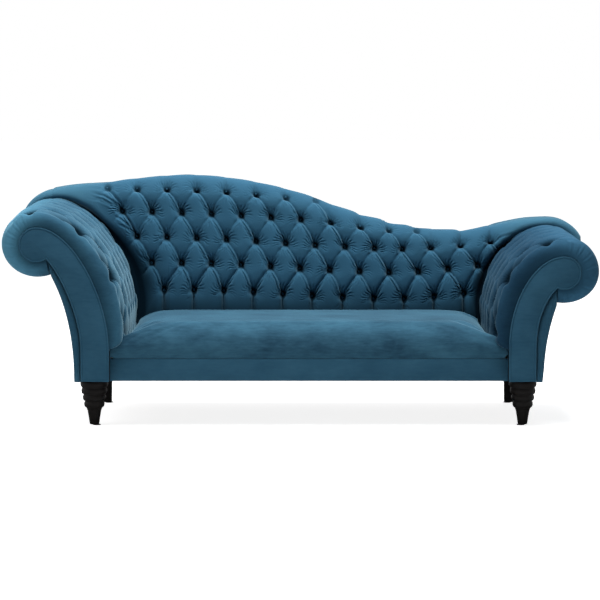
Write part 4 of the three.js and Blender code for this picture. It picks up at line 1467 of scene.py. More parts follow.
@dataclass
class ScrollArm:
    """One arm: its tufted roll, its flat facing, its outside cover and its buttons."""

    name: str
    section: ArmSection
    # Painted shade on the roll's front next to the facing, as a share of full darkness.
    facing_edge_shade: float
    round_over: float = 112.0
    scroll_round: float = 66.0
    nose_rear: float = -315.0
    first_column: float = FRONT + 68.0
    pitch: float = 118.0
    row_gap: float = 105.0
    crown: float = 9.0
    lip: float = 6.0
    rear_tuck: float = 30.0
    tongue: float = 298.0
    mouth: float = 24.0
    slit: float = 17.0
    rows: tuple[int, int] = (-2, 3)
    deepest: float = 50.0
    facing_depth: float = 44.0
    facing_proud: float = 1.2
    length_steps: int = 350
    depth_steps: int = 150
    round_steps: int = 56

    def __post_init__(self) -> None:
        """Works out the section's dense lines once."""
        self.board = self.section.board_line()
        self.roll = self.section.roll_line()
        step = np.hypot(*np.diff(self.roll, axis=0).T)
        self.length = np.concatenate([[0.0], np.cumsum(step)])
        distance = np.hypot(*(self.roll - self.section.anchor).T)
        self.anchor_length = self.length[distance.argmin()]
        tangent = np.gradient(self.roll, self.length, axis=0)
        tangent /= np.hypot(*tangent.T)[:, None]
        self.outward = np.stack([tangent[:, 1], -tangent[:, 0]], 1)

    def along(self, length: Array, line: Array) -> Array:
        """Points of a section line at distances along the roll."""
        return read_line(length, self.length, line)

    def lift(self, length: Array, y: Array, z: Array) -> Array:
        """How far the cover stands over the plain roll.

        Args:
            length: Distances along the section.
            y: Places along the depth.
            z: Heights of the plain roll there.

        Returns:
            Heights in millimetres.
        """
        row = (length - self.anchor_length) / self.row_gap
        column = (y - self.first_column) / self.pitch

        def has_button(at_column: Array, at_row: Array) -> Array:
            """1 at a lattice point with a button."""
            first, last = self.rows
            return np.where((at_column > -0.1) & (at_row > first - 0.5) & (at_row < last + 0.5), 1.0, 0.0)

        tufting = Tufting(
            self.pitch, self.row_gap, sag=15.0, crease=8.0, pit=42.0, reach=24.0, slant=8.0, folds=2.8,
        )
        height = tufting.height(column, row, held_between(row, -3.0, 9.0), has_button)
        begins = ease(-3.6, -2.8, row)
        fade = ease(FRONT + 22, FRONT + 50, y) * begins * ease(PAD_BOTTOM + 20, PAD_BOTTOM + 110, z)
        lip = self.lip * bell(y, FRONT + 48.0, 30.0) * ease(520.0, 400.0, length)
        crown = self.crown * ease(FRONT + 40, FRONT + 200, y) * begins
        mouth = self.mouth * self._slits(length, 2) * bell(y, self.first_column - 16.0, 24.0)
        return np.maximum(height * fade + lip + crown - mouth, -self.deepest)

    def _slits(self, length: Array, power: int) -> Array:
        """1 on the rows whose first buttons are right behind the front, down to 0 beside them."""
        beside = [length - self.anchor_length - number * self.row_gap for number in (-2, 0, 2)]
        return np.max([np.exp(-((away / self.slit) ** power)) for away in beside], axis=0)

    def pad(self) -> Piece:
        """Makes the padded roll.

        Its steps go round the front, back along the outside and forwards again on the hidden side. Each
        has its share of the padding's thickness, where it starts, how far round the front it is, its
        weight of the rear, and its turn round the front, below 0 on the hidden side.

        Returns:
            The new object.
        """
        front = FRONT + 5.0
        steps = []
        for turn in np.linspace(0.0, math.pi / 2, self.round_steps + 1):
            steps.append((0.01 + 0.99 * math.sin(turn), front, 1 - math.cos(turn), 0.0, turn))
        for i in range(1, self.depth_steps + 1):
            steps.append((1.0, front, 1.0, i / self.depth_steps, math.pi / 2))
        for share in (0.85, 0.7, 0.55, 0.4):
            steps.append((share, front, 0.0, 1.0, -1.0))
        for i in range(1, 13):
            steps.append((0.4, self.nose_rear, 0.0, 1.0 - i / 12, -1.0))
        for share in (0.28, 0.15, 0.03):
            steps.append((share, self.nose_rear, 0.0, 0.0, -1.0))
        for i in range(1, 8):
            steps.append((0.03, self.nose_rear + (front - self.nose_rear) * i / 8, 0.0, 0.0, -1.0))
        columns = [np.asarray(run) for run in zip(*steps)]

        def place(around: Array, along: Array) -> Array:
            """Points of the skin.

            Args:
                around: Step numbers round it.
                along: Step numbers along the section.

            Returns:
                The points and their painted shade.
            """
            share, start, ahead, weight, kind = (run[around] for run in columns)
            length = self.length[-1] * along / self.length_steps
            near, far = self.along(length, self.board), self.along(length, self.roll)
            rear = BACK.front_y(far[:, 1]) + self.rear_tuck
            flank = ease(330.0, 520.0, length)
            deep = self.scroll_round + (self.round_over - self.scroll_round) * flank
            y = (start + ahead ** (1.1 + 0.9 * flank) * deep) * (1 - weight) + rear * weight
            tongue = self.tongue - 70.0 * ease(FRONT + 90.0, FRONT + 220.0, y)
            point = near + (far - near) * share[:, None]
            end = np.clip((point[:, 1] - tongue) / 46.0, 0.0, 1.0)
            thin = np.maximum((1 - (1 - end) ** 2.4) ** 0.5, 0.06)
            thin = np.where(length > self.anchor_length, thin, 1.0)
            ledge = self.section.board_neck.u
            point[:, 0] = np.where(point[:, 0] < ledge, ledge - (ledge - point[:, 0]) * thin, point[:, 0])
            outer, turn = kind >= 0, np.maximum(kind, 0.0)
            lift = np.where(outer, self.lift(length, y, far[:, 1]), 0.0)
            gather = self._gathers(length, kind) * outer
            point = point + self.along(length, self.outward) * (lift * thin + gather * np.sin(turn))[:, None]
            y = y - gather * np.cos(turn)
            # Painted shade: the deep tufting, the roll's front next to the facing, the slits at the first
            # buttons and the thin tongue under z 300 are darkened.
            hollow = np.maximum((-lift - 2.0) / 13.0, self.facing_edge_shade * ease(0.62, 0.0, kind))
            slits = 1.3 * self._slits(length, 4) * bell(y, self.first_column + 6.0, 24.0)
            hollow = np.maximum(np.maximum(hollow, slits), ease(300.0, 288.0, point[:, 1]))
            hollow = np.clip(hollow, 0.0, 1.0) * outer
            return np.stack([self.section.side * point[:, 0], y, point[:, 1], hollow], 1)

        bm = wrapped_grid(len(steps), self.length_steps, place)
        piece = new_piece(f"{self.name}_tufted_roll", bm)
        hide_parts(f"{self.name}_arm_pad")
        return piece

    def _gathers(self, length: Array, turn: Array) -> Array:
        """Small radial gathers where the cover is drawn round the scroll's front.

        Args:
            length: Distances along the section.
            turn: How far round the front the place is, in radians.

        Returns:
            Heights in millimetres.
        """
        around = ease(470.0, 330.0, length)
        ring = ease(0.12, 0.4, turn) * ease(1.35, 0.8, turn)
        waves = np.cos(length / 4.1) + 0.7 * np.cos(length / 2.7 + 1.3) + 0.5 * np.cos(length / 9.3 + 0.4)
        return 0.38 * around * ring * waves

    def facing(self) -> Piece:
        """Makes the flat facing with its sewn edge.

        Returns:
            The new object.
        """
        inner, edge = self.board[::4], self.section.board_outer_edge(40)
        outline = np.concatenate([
            inner[inner[:, 1] > FRAME_BOTTOM + 90], [(inner[-1, 0], FRAME_BOTTOM - 1)], edge[::-1][:-1],
        ])
        outline[-len(edge):, 1] = np.maximum(outline[-len(edge):, 1], FRAME_BOTTOM - 1)
        outline[:, 0] *= self.section.side
        run = np.roll(outline, -1, axis=0) - np.roll(outline, 1, axis=0)
        x, z = outline.T
        turned = float(np.sum(x * np.roll(z, -1) - z * np.roll(x, -1)))
        outward = math.copysign(1.0, turned) * np.stack([run[:, 1], -run[:, 0]], 1)
        outline = outline + self.facing_proud * outward / np.hypot(*run.T)[:, None]
        bm = extruded(outline, FRONT, self.facing_depth)
        bm.normal_update()
        front = min(bm.faces, key=lambda face: face.calc_center_median().y)
        round_edges(bm, list(front.edges), 2.4)
        front = max((f for f in bm.faces if f.normal.y < -0.9), key=lambda face: face.calc_area())
        for thickness, depth in ((3.0, 0.0), (1.4, -1.5), (2.2, 0.9)):
            bmesh.ops.inset_region(
                bm, faces=[front], thickness=thickness * MM, depth=depth * MM, use_even_offset=True,
            )
        # Painted shade on the facing's rounded rim and sides, which darkens them behind its front face.
        shade = bm.verts.layers.float.new(PAINTED_SHADE_LAYER)
        for vertex in bm.verts:
            vertex[shade] = min(1.0, max(0.0, (vertex.co.y / MM - FRONT - 1.0) / 1.4))
        piece = new_piece(f"{self.name}_facing_panel", bm)
        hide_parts(f"{self.name}_arm_facing")
        return piece

    def outside_cover(self) -> Piece:
        """Makes the padded outside of the arm, rounded at its front edge.

        Returns:
            The new object.
        """
        count = 48
        inner = self.section.board_outer_edge(count)
        outer = self.section.cover_outer_edge(count)
        tuck = np.zeros(len(inner))
        tuck[:3] = (4.0, 1.6, 0.4)
        near = inner + (outer - inner) * 0.02 - np.stack([tuck, tuck + np.where(tuck > 3, 1.0, 0.0)], 1)
        far = outer - np.stack([tuck, tuck * 0], 1)
        front = FRONT + 9.0
        steps = [(0.0, 16.0, 0.0), (0.05, 8.0, 0.0), (0.1, 4.0, 0.0), (0.2, 1.0, 0.0), (0.35, 0.0, 0.0)]
        steps += [
            (0.5 + 0.5 * math.sin(turn), 14.0 * (1 - math.cos(turn)), 0.0)
            for turn in np.linspace(0.0, math.pi / 2, 11)
        ]
        steps += [(1.0, 14.0, share) for share in np.linspace(0, 1, 25)[1:]]
        steps += [(0.5, 14.0, 1.0)]
        steps += [(0.0, 16.0, share) for share in np.linspace(1, 0, 13)[:-1]]
        columns = [np.asarray(run) for run in zip(*steps)]

        def place(around: Array, along: Array) -> Array:
            """Points of the skin.

            Args:
                around: Step numbers round it.
                along: Step numbers up the arm's outside.

            Returns:
                The points, none of them with painted shade.
            """
            share, ahead, weight = (run[around] for run in columns)
            point = near[along] + (far[along] - near[along]) * share[:, None]
            rear = BACK.rear_face_y(point[:, 1]) - 12.5
            y = (front + ahead) * (1 - weight) + rear * weight
            swell = np.where(share > 0.99, 3.0 * np.sin(np.pi * weight), 0.0)
            z = np.where(along == len(near) - 1, point[:, 1] - 4.0, point[:, 1])
            return np.stack([self.section.side * (point[:, 0] + swell), y, z, np.zeros(y.shape)], 1)

        bm = wrapped_grid(len(steps), len(near) - 1, place)
        piece = new_piece(f"{self.name}_outside_panel", bm)
        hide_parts(f"{self.name}_arm_outside_cover")
        return piece

    def buttons(self) -> Piece:
        """Makes the arm's buttons, as far down and back as they can be reached.

        Returns:
            The new object.
        """
        studs = Buttons()
        for row in range(self.rows[0], self.rows[1] + 1):
            length = np.array([self.anchor_length + row * self.row_gap])
            point = self.along(length, self.roll)[0]
            outward = self.along(length, self.outward)[0]
            if length[0] > self.length[-1] - 60.0 or point[1] < PAD_BOTTOM + 130.0:
                continue
            y = self.first_column + (abs(row) % 2) * self.pitch / 2
            while y < float(BACK.front_y(point[1])) - 30.0:
                lift = float(self.lift(length, np.array([y]), np.array([point[1]]))[0])
                at = point + outward * (lift + 1.0)
                studs.add(
                    (self.section.side * at[0], y, at[1]),
                    (self.section.side * outward[0], 0.0, outward[1]),
                )
                y += self.pitch
        return studs.build(f"{self.name}_arm_buttons")

    def build(self) -> list[Piece]:
        """Makes every piece of the arm."""
        return [self.pad(), self.facing(), self.outside_cover(), self.buttons()]


@dataclass(frozen=True)
class Stuffing:
    """Swells a padded piece with Blender's Cloth, as the filling pushes its cover out.

    Attributes:
        voxel: Size of the skin's faces in metres.
        pressure: Strength of the push.
        frames: Number of steps.
        cap: How far a point of the cover may move, in millimetres.
    """

    voxel: float = 0.0075
    pressure: float = 3.0
    frames: int = 16
    cap: float = 9.0

    @staticmethod
    def _bake(piece: Piece) -> None:
        """Makes what a piece's modifiers show its own mesh, and removes them.

        Args:
            piece: The piece.
        """
        evaluated = piece.evaluated_get(bpy.context.evaluated_depsgraph_get())
        made = bpy.data.meshes.new_from_object(evaluated)
        piece.modifiers.clear()
        old, piece.data = piece.data, made
        bpy.data.meshes.remove(old)

    def swell(self, piece: Piece, is_held: Callable[[Vector], bool]) -> None:
        """Runs the simulation and keeps its result.

        Args:
            piece: The piece.
            is_held: Tells whether a place on its cover is held.
        """
        skin = piece.modifiers.new("skin", "REMESH")
        skin.mode = "VOXEL"
        skin.voxel_size = self.voxel
        skin.use_smooth_shade = True
        self._bake(piece)
        start = [vertex.co.copy() for vertex in piece.data.vertices]
        group = piece.vertex_groups.new(name="held")
        group.add([number for number, at in enumerate(start) if is_held(at)], 1.0, "REPLACE")
        filling = piece.modifiers.new("filling", "CLOTH")
        filling.settings.vertex_group_mass = "held"
        filling.settings.use_pressure = True
        filling.settings.uniform_pressure_force = self.pressure
        filling.settings.effector_weights.gravity = 0.0
        filling.point_cache.frame_start = 1
        filling.point_cache.frame_end = self.frames
        scene = bpy.context.scene
        for number in range(1, self.frames + 1):
            scene.frame_set(number)
        self._bake(piece)
        scene.frame_set(1)
        for vertex, at in zip(piece.data.vertices, start):
            moved = vertex.co - at
            far = moved.length
            if far > 0.0:
                vertex.co = at + moved * (self.cap * MM * math.tanh(far / (self.cap * MM)) / far)
        finer = piece.modifiers.new("finer", "SUBSURF")
        finer.levels = finer.render_levels = 1


@dataclass
class BenchSeat:
    """The tight seat with its waterfall front, and the apron under its seam."""

    left: float = -643.0
    right: float = 705.0
    front_left: float = -717.0
    front_right: float = 780.0
    held_left: float = -700.0
    held_right: float = 763.0
    crown: float = 400.0
    edge: float = 338.0
    front_edge: float = 288.0
    base: float = 330.0
    rear: float = 143.0
    bulge: float = 17.0
    front_radius: float = 74.0
    stations: int = 150
    stuffing: Stuffing = Stuffing()
    apron_ends: tuple[float, float] = (-714.0, 777.0)

    def outline(self, place: float, slack: float) -> Array:
        """The seat's section at one place along its length.

        Args:
            place: From -1 at the left end to 1 at the right.
            slack: How much lower than the finished seat it is.

        Returns:
            Its closed outline.
        """
        crown = (1 - abs(place) ** 12) ** 0.5
        peak = self.crown - slack
        points = []

        def add(y: float, high: float, low: float) -> None:
            """Adds one point.

            Args:
                y: Its place from front to rear.
                high: Its height in the middle of the seat.
                low: Its height at the ends.
            """
            widen = float(ease(-322.0, -348.0, np.asarray(y)))
            left = self.left + (self.front_left - self.left) * widen
            right = self.right + (self.front_right - self.right) * widen
            x = left + (right - left) * (place + 1) / 2
            points.append((x, y, low + (high - low) * crown))

        front = SEAT_EDGE_FRONT
        for share in np.linspace(0, 1, 9):
            swell = math.sin(math.pi / 2 * share) ** 0.8
            y = front + 1 - (self.bulge + 1 - 0.5 * slack) * swell
            add(y, SEAM_HEIGHT + 1 + 43 * share, SEAM_HEIGHT + 1 + 17 * share)
        for turn in np.linspace(0, math.pi / 2, 15)[1:]:
            y = front - self.bulge + 0.5 * slack + 2 + self.front_radius * (1 - math.cos(turn))
            high = peak - 6 - self.front_radius * (1 - math.sin(turn))
            behind = float(ease(-360.0, -318.0, np.asarray(y)))
            add(y, high, self.front_edge - 8 + (self.edge - self.front_edge + 8) * behind)
        for share in np.linspace(0, 1, 41)[1:]:
            y = -298.0 + 458.0 * share
            swell = 8 * math.sin(math.pi * (0.08 + 0.72 * share))
            add(y, peak - 8 + swell - 6 * share**6, self.edge)
        for behind, high, low in ((13, 22, 10), (8, 10, 2), (0, 0, 0)):
            add(self.rear + behind, self.base + high, self.base + low)
        for share in np.linspace(0, 1, 21)[1:]:
            add(self.rear - 468 * share, self.base, self.base)
        for share in np.linspace(0, 1, 6)[1:]:
            add(self.rear - 468, self.base - 55 * share, self.base - 55 * share)
        add(front + 12, SEAM_HEIGHT + 2, SEAM_HEIGHT + 2)
        return np.asarray([(*point, 0.0) for point in points])

    def is_held(self, at: Vector) -> bool:
        """Whether a place on the seat's cover is sewn or tacked down.

        Args:
            at: The place in metres.

        Returns:
            True if it is.
        """
        sewn = at.z < (SEAM_HEIGHT + 14) * MM
        tacked = at.z < (self.base + 3) * MM and at.y > -330 * MM
        return sewn or tacked or not self.held_left * MM < at.x < self.held_right * MM

    def seat(self) -> Piece:
        """Makes the padded seat.

        Returns:
            The new object.
        """
        slack = self.stuffing.cap
        places = np.sin(math.pi / 2 * np.linspace(-1, 1, self.stations + 1))
        rings = np.stack([self.outline(float(place), slack) for place in places])
        bm = wrapped_grid(rings.shape[1], self.stations, lambda i, j: rings[j, i])
        piece = new_piece("bench_seat", bm)
        self.stuffing.swell(piece, self.is_held)
        for vertex in piece.data.vertices:
            if vertex.co.z < (SEAM_HEIGHT + 6) * MM:
                vertex.co.z = (SEAM_HEIGHT + 1) * MM
        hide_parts("seat_pad")
        return piece

    def apron(self) -> Piece:
        """Makes the padded apron under the seat's seam.

        Returns:
            The new object.
        """
        left, right = self.apron_ends
        low = (left, SEAT_EDGE_FRONT - 3, FRAME_BOTTOM - 4)
        bm = rounded_box(low, (right, SEAT_EDGE_FRONT + 12, SEAM_HEIGHT + 1), 3.5)
        piece = new_piece("apron_panel", bm)
        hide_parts("front_apron")
        return piece

    def build(self) -> list[Piece]:
        """Makes the seat and the apron."""
        return [self.seat(), self.apron()]


@dataclass
class OutsideBack:
    """The plain rear panel, which goes round both scrolls."""

    thickness: float = 12.0
    rounding: float = 4.0
    scroll_share: float = 0.36

    def build(self) -> list[Piece]:
        """Makes the panel.

        Returns:
            The one piece.
        """
        halves = []
        for arm in (LOW_ARM, TALL_ARM):
            edge = arm.cover_outer_edge(30)[::-1]
            edge[0, 1] = FRAME_BOTTOM - 1
            board, roll = arm.board_line(), arm.roll_line()
            scroll = (board + (roll - board) * self.scroll_share)[: arm.samples + 1: 5]
            half = np.concatenate([edge[:-1], scroll[:1] - (4, 0), scroll])
            half[:, 0] *= arm.side
            halves.append(half)
        xs = np.linspace(TALL_ARM.scroll_u - 12, -TALL_ARM.scroll_u + 12, 90)
        under = 48.0 + ease(TALL_ARM.scroll_u - 90, TALL_ARM.scroll_u, np.abs(xs)) * 34.0
        top = np.stack([xs, BACK.top_z(xs) - under], 1)
        outline = np.concatenate([halves[0], top, halves[1][::-1]])
        front = float(BACK.rear_face_y(np.array(0.0))) - self.thickness
        bm = extruded(outline, front, self.thickness, BACK.rear_lean)
        rear = max(bm.faces, key=lambda face: face.calc_center_median().y)
        round_edges(bm, list(rear.edges), self.rounding)
        piece = new_piece("rear_panel", bm)
        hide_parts("outside_back")
        return [piece]


@dataclass
class DustCover:
    """The thin cambric sheet tacked under the seat frame."""

    left: float = -691.5
    right: float = 753.5
    front: float = -336.0
    rear: float = 334.0
    top: float = 177.4
    thickness: float = 0.9
    sag: float = 7.0

    def build(self) -> list[Piece]:
        """Makes the sheet, which sags a little between the rails.

        Returns:
            The one piece.
        """
        bm = bmesh.new()
        bmesh.ops.create_grid(bm, x_segments=120, y_segments=56, size=1.0)
        for vertex in bm.verts:
            across, along = vertex.co.x, vertex.co.y
            hung = (1 - across**4) * (1 - along**2) * (0.8 + 0.2 * math.cos(9.0 * across + 2.0 * along))
            pucker = 0.35 * math.cos(60.0 * across) * along**8 + 0.35 * math.cos(30.0 * along) * across**8
            vertex.co = Vector((
                self.left + (self.right - self.left) * (across + 1) / 2,
                self.front + (self.rear - self.front) * (along + 1) / 2,
                self.top - self.sag * hung + pucker * (1 - max(abs(across), abs(along)) ** 20),
            )) * MM
        bmesh.ops.solidify(bm, geom=bm.faces[:], thickness=self.thickness * MM)
        piece = new_piece("cambric_sheet", bm)
        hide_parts("dust_cover")
        return [piece]


@dataclass
class Legs:
    """Two turned front legs with four rings each and two square tapered rear legs."""

    front_y: float = FRONT + 105.0
    rear_y: float = 308.0
    tall_u: float = 777.0
    low_u: float = 837.0
    top: float = 177.5
    glide: float = 3.0
    foot: float = 38.0
    rings: tuple[tuple[float, float, float], ...] = (
        (38.5, 68.0, 93.0), (43.5, 93.0, 118.0), (48.5, 118.0, 144.0), (52.5, 144.0, 172.0),
    )
    ring_edge: float = 6.5
    flares: tuple[tuple[float, float], ...] = ((150.0, 46.0), (166.0, 52.0))

    def front_leg(self, name: str, x: float) -> Piece:
        """Makes one turned leg.

        Args:
            name: The piece's name.
            x: Its place along the couch.

        Returns:
            The new object.
        """
        profile = [(0.0, self.glide), (15.5, self.glide), (17.3, 4.2), (18.5, 8.0)]
        profile += [(21.5, 30.0), (25.5, 54.0), (28.5, 63.0), (30.5, 66.0)]
        for radius, bottom, top in self.rings:
            half = (top - bottom) / 2
            for turn in np.linspace(-0.92, 0.92, 9):
                across = math.cos(turn * math.pi / 2) ** 0.45
                edge = self.ring_edge * (1 - across)
                profile.append((radius - edge, (bottom + top) / 2 + half * turn * 0.98))
        profile += [(46.0, 173.5), (47.0, 175.5), (47.0, self.top), (0.0, self.top)]
        return new_piece(name, spun(profile, (x, self.front_y), 56))

    def rear_leg(self, name: str, x: float) -> Piece:
        """Makes one square tapered leg.

        Args:
            name: The piece's name.
            x: Its place along the couch.

        Returns:
            The new object.
        """
        bm = bmesh.new()
        bmesh.ops.create_cube(bm, size=1.0)
        size = Vector((self.foot, self.foot, self.top - self.glide))
        bmesh.ops.scale(bm, vec=size * MM, verts=bm.verts)
        bmesh.ops.translate(bm, vec=(0, 0, (self.top + self.glide) / 2 * MM), verts=bm.verts)
        for level, width in self.flares:
            everything = bm.verts[:] + bm.edges[:] + bm.faces[:]
            bmesh.ops.bisect_plane(bm, geom=everything, plane_co=(0, 0, level * MM), plane_no=(0, 0, 1))
            for vertex in [v for v in bm.verts if v.co.z > (level - 0.5) * MM]:
                vertex.co.x = math.copysign(width / 2 * MM, vertex.co.x)
                vertex.co.y = math.copysign(width / 2 * MM, vertex.co.y)
        upright = [e for e in bm.edges if abs(e.verts[0].co.z - e.verts[1].co.z) > 0.5 * MM]
        round_edges(bm, upright, 2.2)
        bmesh.ops.translate(bm, vec=(x * MM, self.rear_y * MM, 0), verts=bm.verts)
        return new_piece(name, bm, smooth=False)

    def build(self) -> list[Piece]:
        """Makes the four legs.

        Returns:
            The four pieces.
        """
        made = []
        for side, x in (("left", -self.tall_u), ("right", self.low_u)):
            front = self.front_leg(f"{side}_turned_leg", x)
            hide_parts(f"{side}_front_leg")
            rear = self.rear_leg(f"{side}_square_leg", x)
            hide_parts(f"{side}_rear_leg")
            made += [front, rear]
        return made


@dataclass
class InnerFrame:
    """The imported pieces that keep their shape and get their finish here."""

    slots: dict[str, tuple[str, ...]] = field(default_factory=lambda: {
        Slot.STEEL.value: ("spring", "bolt", "tee_nut"),
        Slot.FELT.value: ("glide",),
        Slot.FOAM.value: ("foam",),
        Slot.HESSIAN.value: ("hessian", "webbing", "lining"),
        Slot.CAMBRIC.value: ("dust_cover",),
        Slot.PLYWOOD.value: ("board",),
        Slot.BEECH.value: ("rail", "post", "block"),
    })

    def dress(self, finishes: dict[str, Material]) -> int:
        """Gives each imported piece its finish.

        Args:
            finishes: Materials by slot name.

        Returns:
            The number of pieces dressed.
        """
        count = 0
        for name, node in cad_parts.items():
            slot = next((s for s, words in self.slots.items() if any(w in name for w in words)), None)
            if slot is None:
                slot = Slot.BLACK_WOOD.value if name.endswith("_leg") else Slot.VELVET.value
            for holder in node.material_slots:
                holder.material = finishes[slot]
            count += 1
        return count


@dataclass(frozen=True)
class Lamp:
    """One soft square lamp, its width in metres and its strength in watts."""

    name: str
    at: tuple[float, float, float]
    aim: tuple[float, float, float]
    size: float
    power: float


@dataclass
class Studio:
    """Camera, lamps, floor and world. Its places are in metres."""

    camera_at: tuple[float, float, float] = (-0.002, -9.395, 1.388)
    pitch_down: float = 5.740
    lens: float = 146.3
    lamps: tuple[Lamp, ...] = (
        Lamp("top_light", (0.0, -0.2, 3.6), (0.0, 0.0, 0.5), 3.2, 275.0),
        Lamp("left_light", (-3.6, -1.0, 3.0), (0.0, 0.0, 0.5), 2.4, 46.0),
        Lamp("rear_light", (0.5, 3.0, 3.4), (0.0, 0.0, 0.8), 3.0, 34.0),
    )

    @staticmethod
    def stand(
        data: "bpy.types.Camera | bpy.types.Light", at: Sequence[float], turn: Sequence[float],
    ) -> Piece:
        """Puts a camera or a lamp in its place.

        Args:
            data: The camera or lamp.
            at: Its place.
            turn: Its turn about each axis.

        Returns:
            The new object.
        """
        holder = bpy.data.objects.new(data.name, data)
        holder.location = at
        holder.rotation_euler = turn
        bpy.context.scene.collection.objects.link(holder)
        return holder

    def camera(self) -> None:
        """Places the camera where the photograph was taken from."""
        data = bpy.data.cameras.new("camera")
        data.lens = self.lens
        data.sensor_width = 36.0
        data.clip_end = 100.0
        turn = (math.radians(90.0 - self.pitch_down), 0.0, 0.0)
        bpy.context.scene.camera = self.stand(data, self.camera_at, turn)

    def light(self, lamp: Lamp) -> None:
        """Adds one lamp.

        Args:
            lamp: The lamp.
        """
        data = bpy.data.lights.new(lamp.name, "AREA")
        data.shape = "SQUARE"
        data.size = lamp.size
        data.energy = lamp.power
        faces = Vector(lamp.aim) - Vector(lamp.at)
        self.stand(data, lamp.at, faces.to_track_quat("-Z", "Y").to_euler())

    def floor(self) -> None:
        """Lays a plain pale floor, which a camera sees glow white where it is far from the object."""
        bm = bmesh.new()
        bmesh.ops.create_grid(bm, x_segments=1, y_segments=1, size=30.0)
        piece = new_piece("floor", bm)
        shader = Shader(bpy.data.materials.new("pale_floor"))
        camera = shader.value("ShaderNodeLightPath", None, None, "Is Camera Ray")
        speckle = shader.noise(shader.place(), scale=3.0)
        matt = shader.node("ShaderNodeBsdfDiffuse", None, {
            "Color": shader.blend(speckle, (0.74, 0.74, 0.74), (0.78, 0.78, 0.78)),
        })
        away = shader.value("ShaderNodeVectorMath", {"operation": "LENGTH"}, {0: shader.place()}, "Value")
        far = shader.value("ShaderNodeMapRange", None, {"Value": away, "From Min": 1.5, "From Max": 5.0})
        glow = shader.node("ShaderNodeEmission", None, {
            "Color": shader.blend(far, (0.86, 0.86, 0.86), (1.0, 1.0, 1.0)),
        })
        lit = shader.node("ShaderNodeAddShader", None, {0: matt.outputs[0], 1: glow.outputs[0]})
        mixed = shader.node("ShaderNodeMixShader", None, {0: camera, 1: matt.outputs[0], 2: lit.outputs[0]})
        shader.node("ShaderNodeOutputMaterial", None, {"Surface": mixed.outputs[0]})
        piece.data.materials.append(shader.owner)

    def world(self) -> None:
        """Sets a surrounding that is white to the eye and in reflections, and lights only softly."""
        shader = Shader(bpy.data.worlds.new("studio_white"))
        path = shader.node("ShaderNodeLightPath")
        seen = Value(shader, path.outputs["Is Camera Ray"])
        for ray in ("Is Glossy Ray", "Is Transmission Ray"):
            seen = seen.math("MAXIMUM", seen, Value(shader, path.outputs[ray]))
        dim = shader.node("ShaderNodeBackground", None, {"Color": (0.93, 0.96, 1.0, 1.0), "Strength": 0.07})
        white = shader.node("ShaderNodeBackground", None, {"Color": (1.0, 1.0, 1.0, 1.0), "Strength": 1.0})
        mixed = shader.node("ShaderNodeMixShader", None, {0: seen, 1: dim.outputs[0], 2: white.outputs[0]})
        shader.node("ShaderNodeOutputWorld", None, {"Surface": mixed.outputs[0]})
        bpy.context.scene.world = shader.owner

    def build(self) -> None:
        """Sets up the whole studio."""
        bpy.context.scene.view_settings.view_transform = "Standard"
        self.camera()
        self.floor()
        self.world()
        for lamp in self.lamps:
            self.light(lamp)


# The whole couch


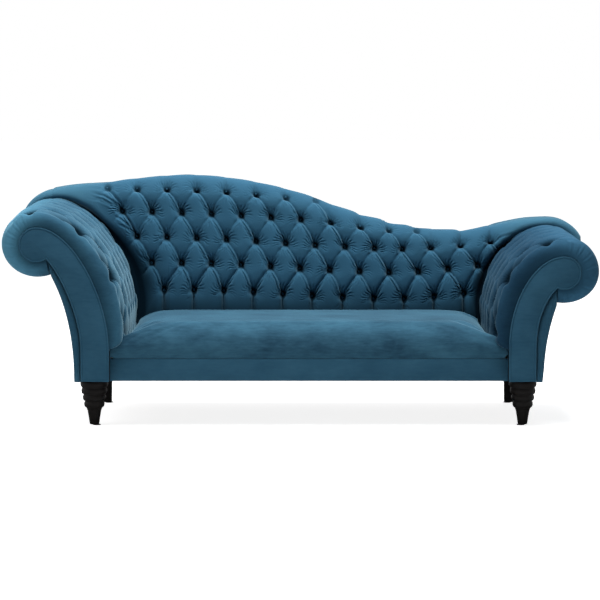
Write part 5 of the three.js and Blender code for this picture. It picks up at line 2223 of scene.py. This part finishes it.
FINISHES: dict[str, Finish] = {
    Slot.VELVET.value: Velvet("petrol_velvet", (0.0165, 0.0600, 0.1030), (0.0320, 0.1010, 0.1600)),
    # A darker copy for the right arm's roll, painted shade, made lighter towards its outer end by painted
    # light
    SHADED_VELVET: Velvet(
        SHADED_VELVET, (0.0060, 0.0250, 0.0490), (0.0300, 0.1010, 0.1720), sheen=0.12, painted_light_span=(0.82, 1.05),
        spread=0.3,
    ),
    # A lighter copy for the left arm's roll, painted light, lightest towards its outer end
    LIT_VELVET: Velvet(
        LIT_VELVET, (0.0145, 0.0530, 0.0930), (0.0680, 0.2150, 0.3200), sheen=0.5, painted_light_span=(-0.92, -1.09),
        spread=0.4,
    ),
    SEAT_NAP: Velvet(
        SEAT_NAP, (0.0098, 0.0360, 0.0650), (0.0345, 0.1070, 0.1650), sheen=0.50, streak=(1.0, 2.2, 1.6),
        spread=1.4,
    ),
    # A lighter copy for the back, painted light, lighter again on the collars at both ends
    COLLAR_LIT_VELVET: Velvet(
        COLLAR_LIT_VELVET, (0.0250, 0.0900, 0.1540), (0.0390, 0.1200, 0.1800), sheen=0.62, painted_light_span=(0.72, 0.90),
        both_ways=True, spread=0.3,
    ),
    Slot.BEECH.value: StainedWood(
        "planed_beech", (0.38, 0.22, 0.10), (0.60, 0.40, 0.22), stretch=(4.0, 40.0, 40.0), roughness=0.6,
    ),
    Slot.BLACK_WOOD.value: StainedWood(
        "black_stained_wood", (0.0015, 0.0012, 0.0011), (0.006, 0.0048, 0.0045), shine=0.12,
    ),
    Slot.PLYWOOD.value: Plywood("birch_plywood", (0.30, 0.17, 0.075), (0.60, 0.42, 0.23)),
    Slot.FOAM.value: Foam("cream_foam", (0.50, 0.45, 0.32), (0.80, 0.75, 0.60)),
    Slot.HESSIAN.value: WovenCloth("jute_hessian", (0.16, 0.11, 0.05), (0.42, 0.32, 0.18), 260.0),
    Slot.CAMBRIC.value: WovenCloth("black_cambric", (0.006, 0.006, 0.008), (0.02, 0.02, 0.024), 500.0),
    Slot.STEEL.value: DrawnSteel("drawn_steel", (0.22, 0.22, 0.23), (0.45, 0.46, 0.48)),
    Slot.FELT.value: WoolFelt("grey_felt", (0.025, 0.022, 0.02), (0.075, 0.066, 0.056)),
}


def place(pieces: Sequence[Piece], slot: Slot, materials: dict[str, Material], variant: str = "") -> None:
    """Gives new pieces their material and their body.

    Args:
        pieces: The pieces.
        slot: The record's slot of their finish.
        materials: Materials by slot name.
        variant: Another material of that slot, if they don't take its first.
    """
    for piece in pieces:
        piece.data.materials.clear()
        piece.data.materials.append(materials[variant or slot.value])
        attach(piece, "root")
        LOG.info("%s: %d faces", piece.name, len(piece.data.polygons))


def main() -> None:
    """Builds the couch over its frame, piece by piece."""
    logging.basicConfig(level=logging.INFO, format="%(message)s")
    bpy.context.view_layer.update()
    materials = {slot: finish.build() for slot, finish in FINISHES.items()}
    Studio().build()
    LOG.info("%d packed pieces dressed", InnerFrame().dress(materials))
    place(TuftedBack().build(), Slot.VELVET, materials, COLLAR_LIT_VELVET)
    # The left arm's roll takes the lit copy of the velvet and the right arm's the shaded copy: painted light
    # and painted shade
    arms = (("left", TALL_ARM, 0.45, LIT_VELVET), ("right", LOW_ARM, 0.28, SHADED_VELVET))
    for name, section, facing_edge_shade, variant in arms:
        pad, facing, cover, buttons = ScrollArm(name, section, facing_edge_shade).build()
        place([facing, cover], Slot.VELVET, materials)
        place([pad, buttons], Slot.VELVET, materials, variant)
    seat, apron = BenchSeat().build()
    place([seat], Slot.VELVET, materials, SEAT_NAP)
    place([apron], Slot.VELVET, materials)
    place(OutsideBack().build(), Slot.VELVET, materials)
    place(DustCover().build(), Slot.CAMBRIC, materials)
    place(Legs().build(), Slot.BLACK_WOOD, materials)
    bpy.context.view_layer.update()


if __name__ == "__main__":
    main()
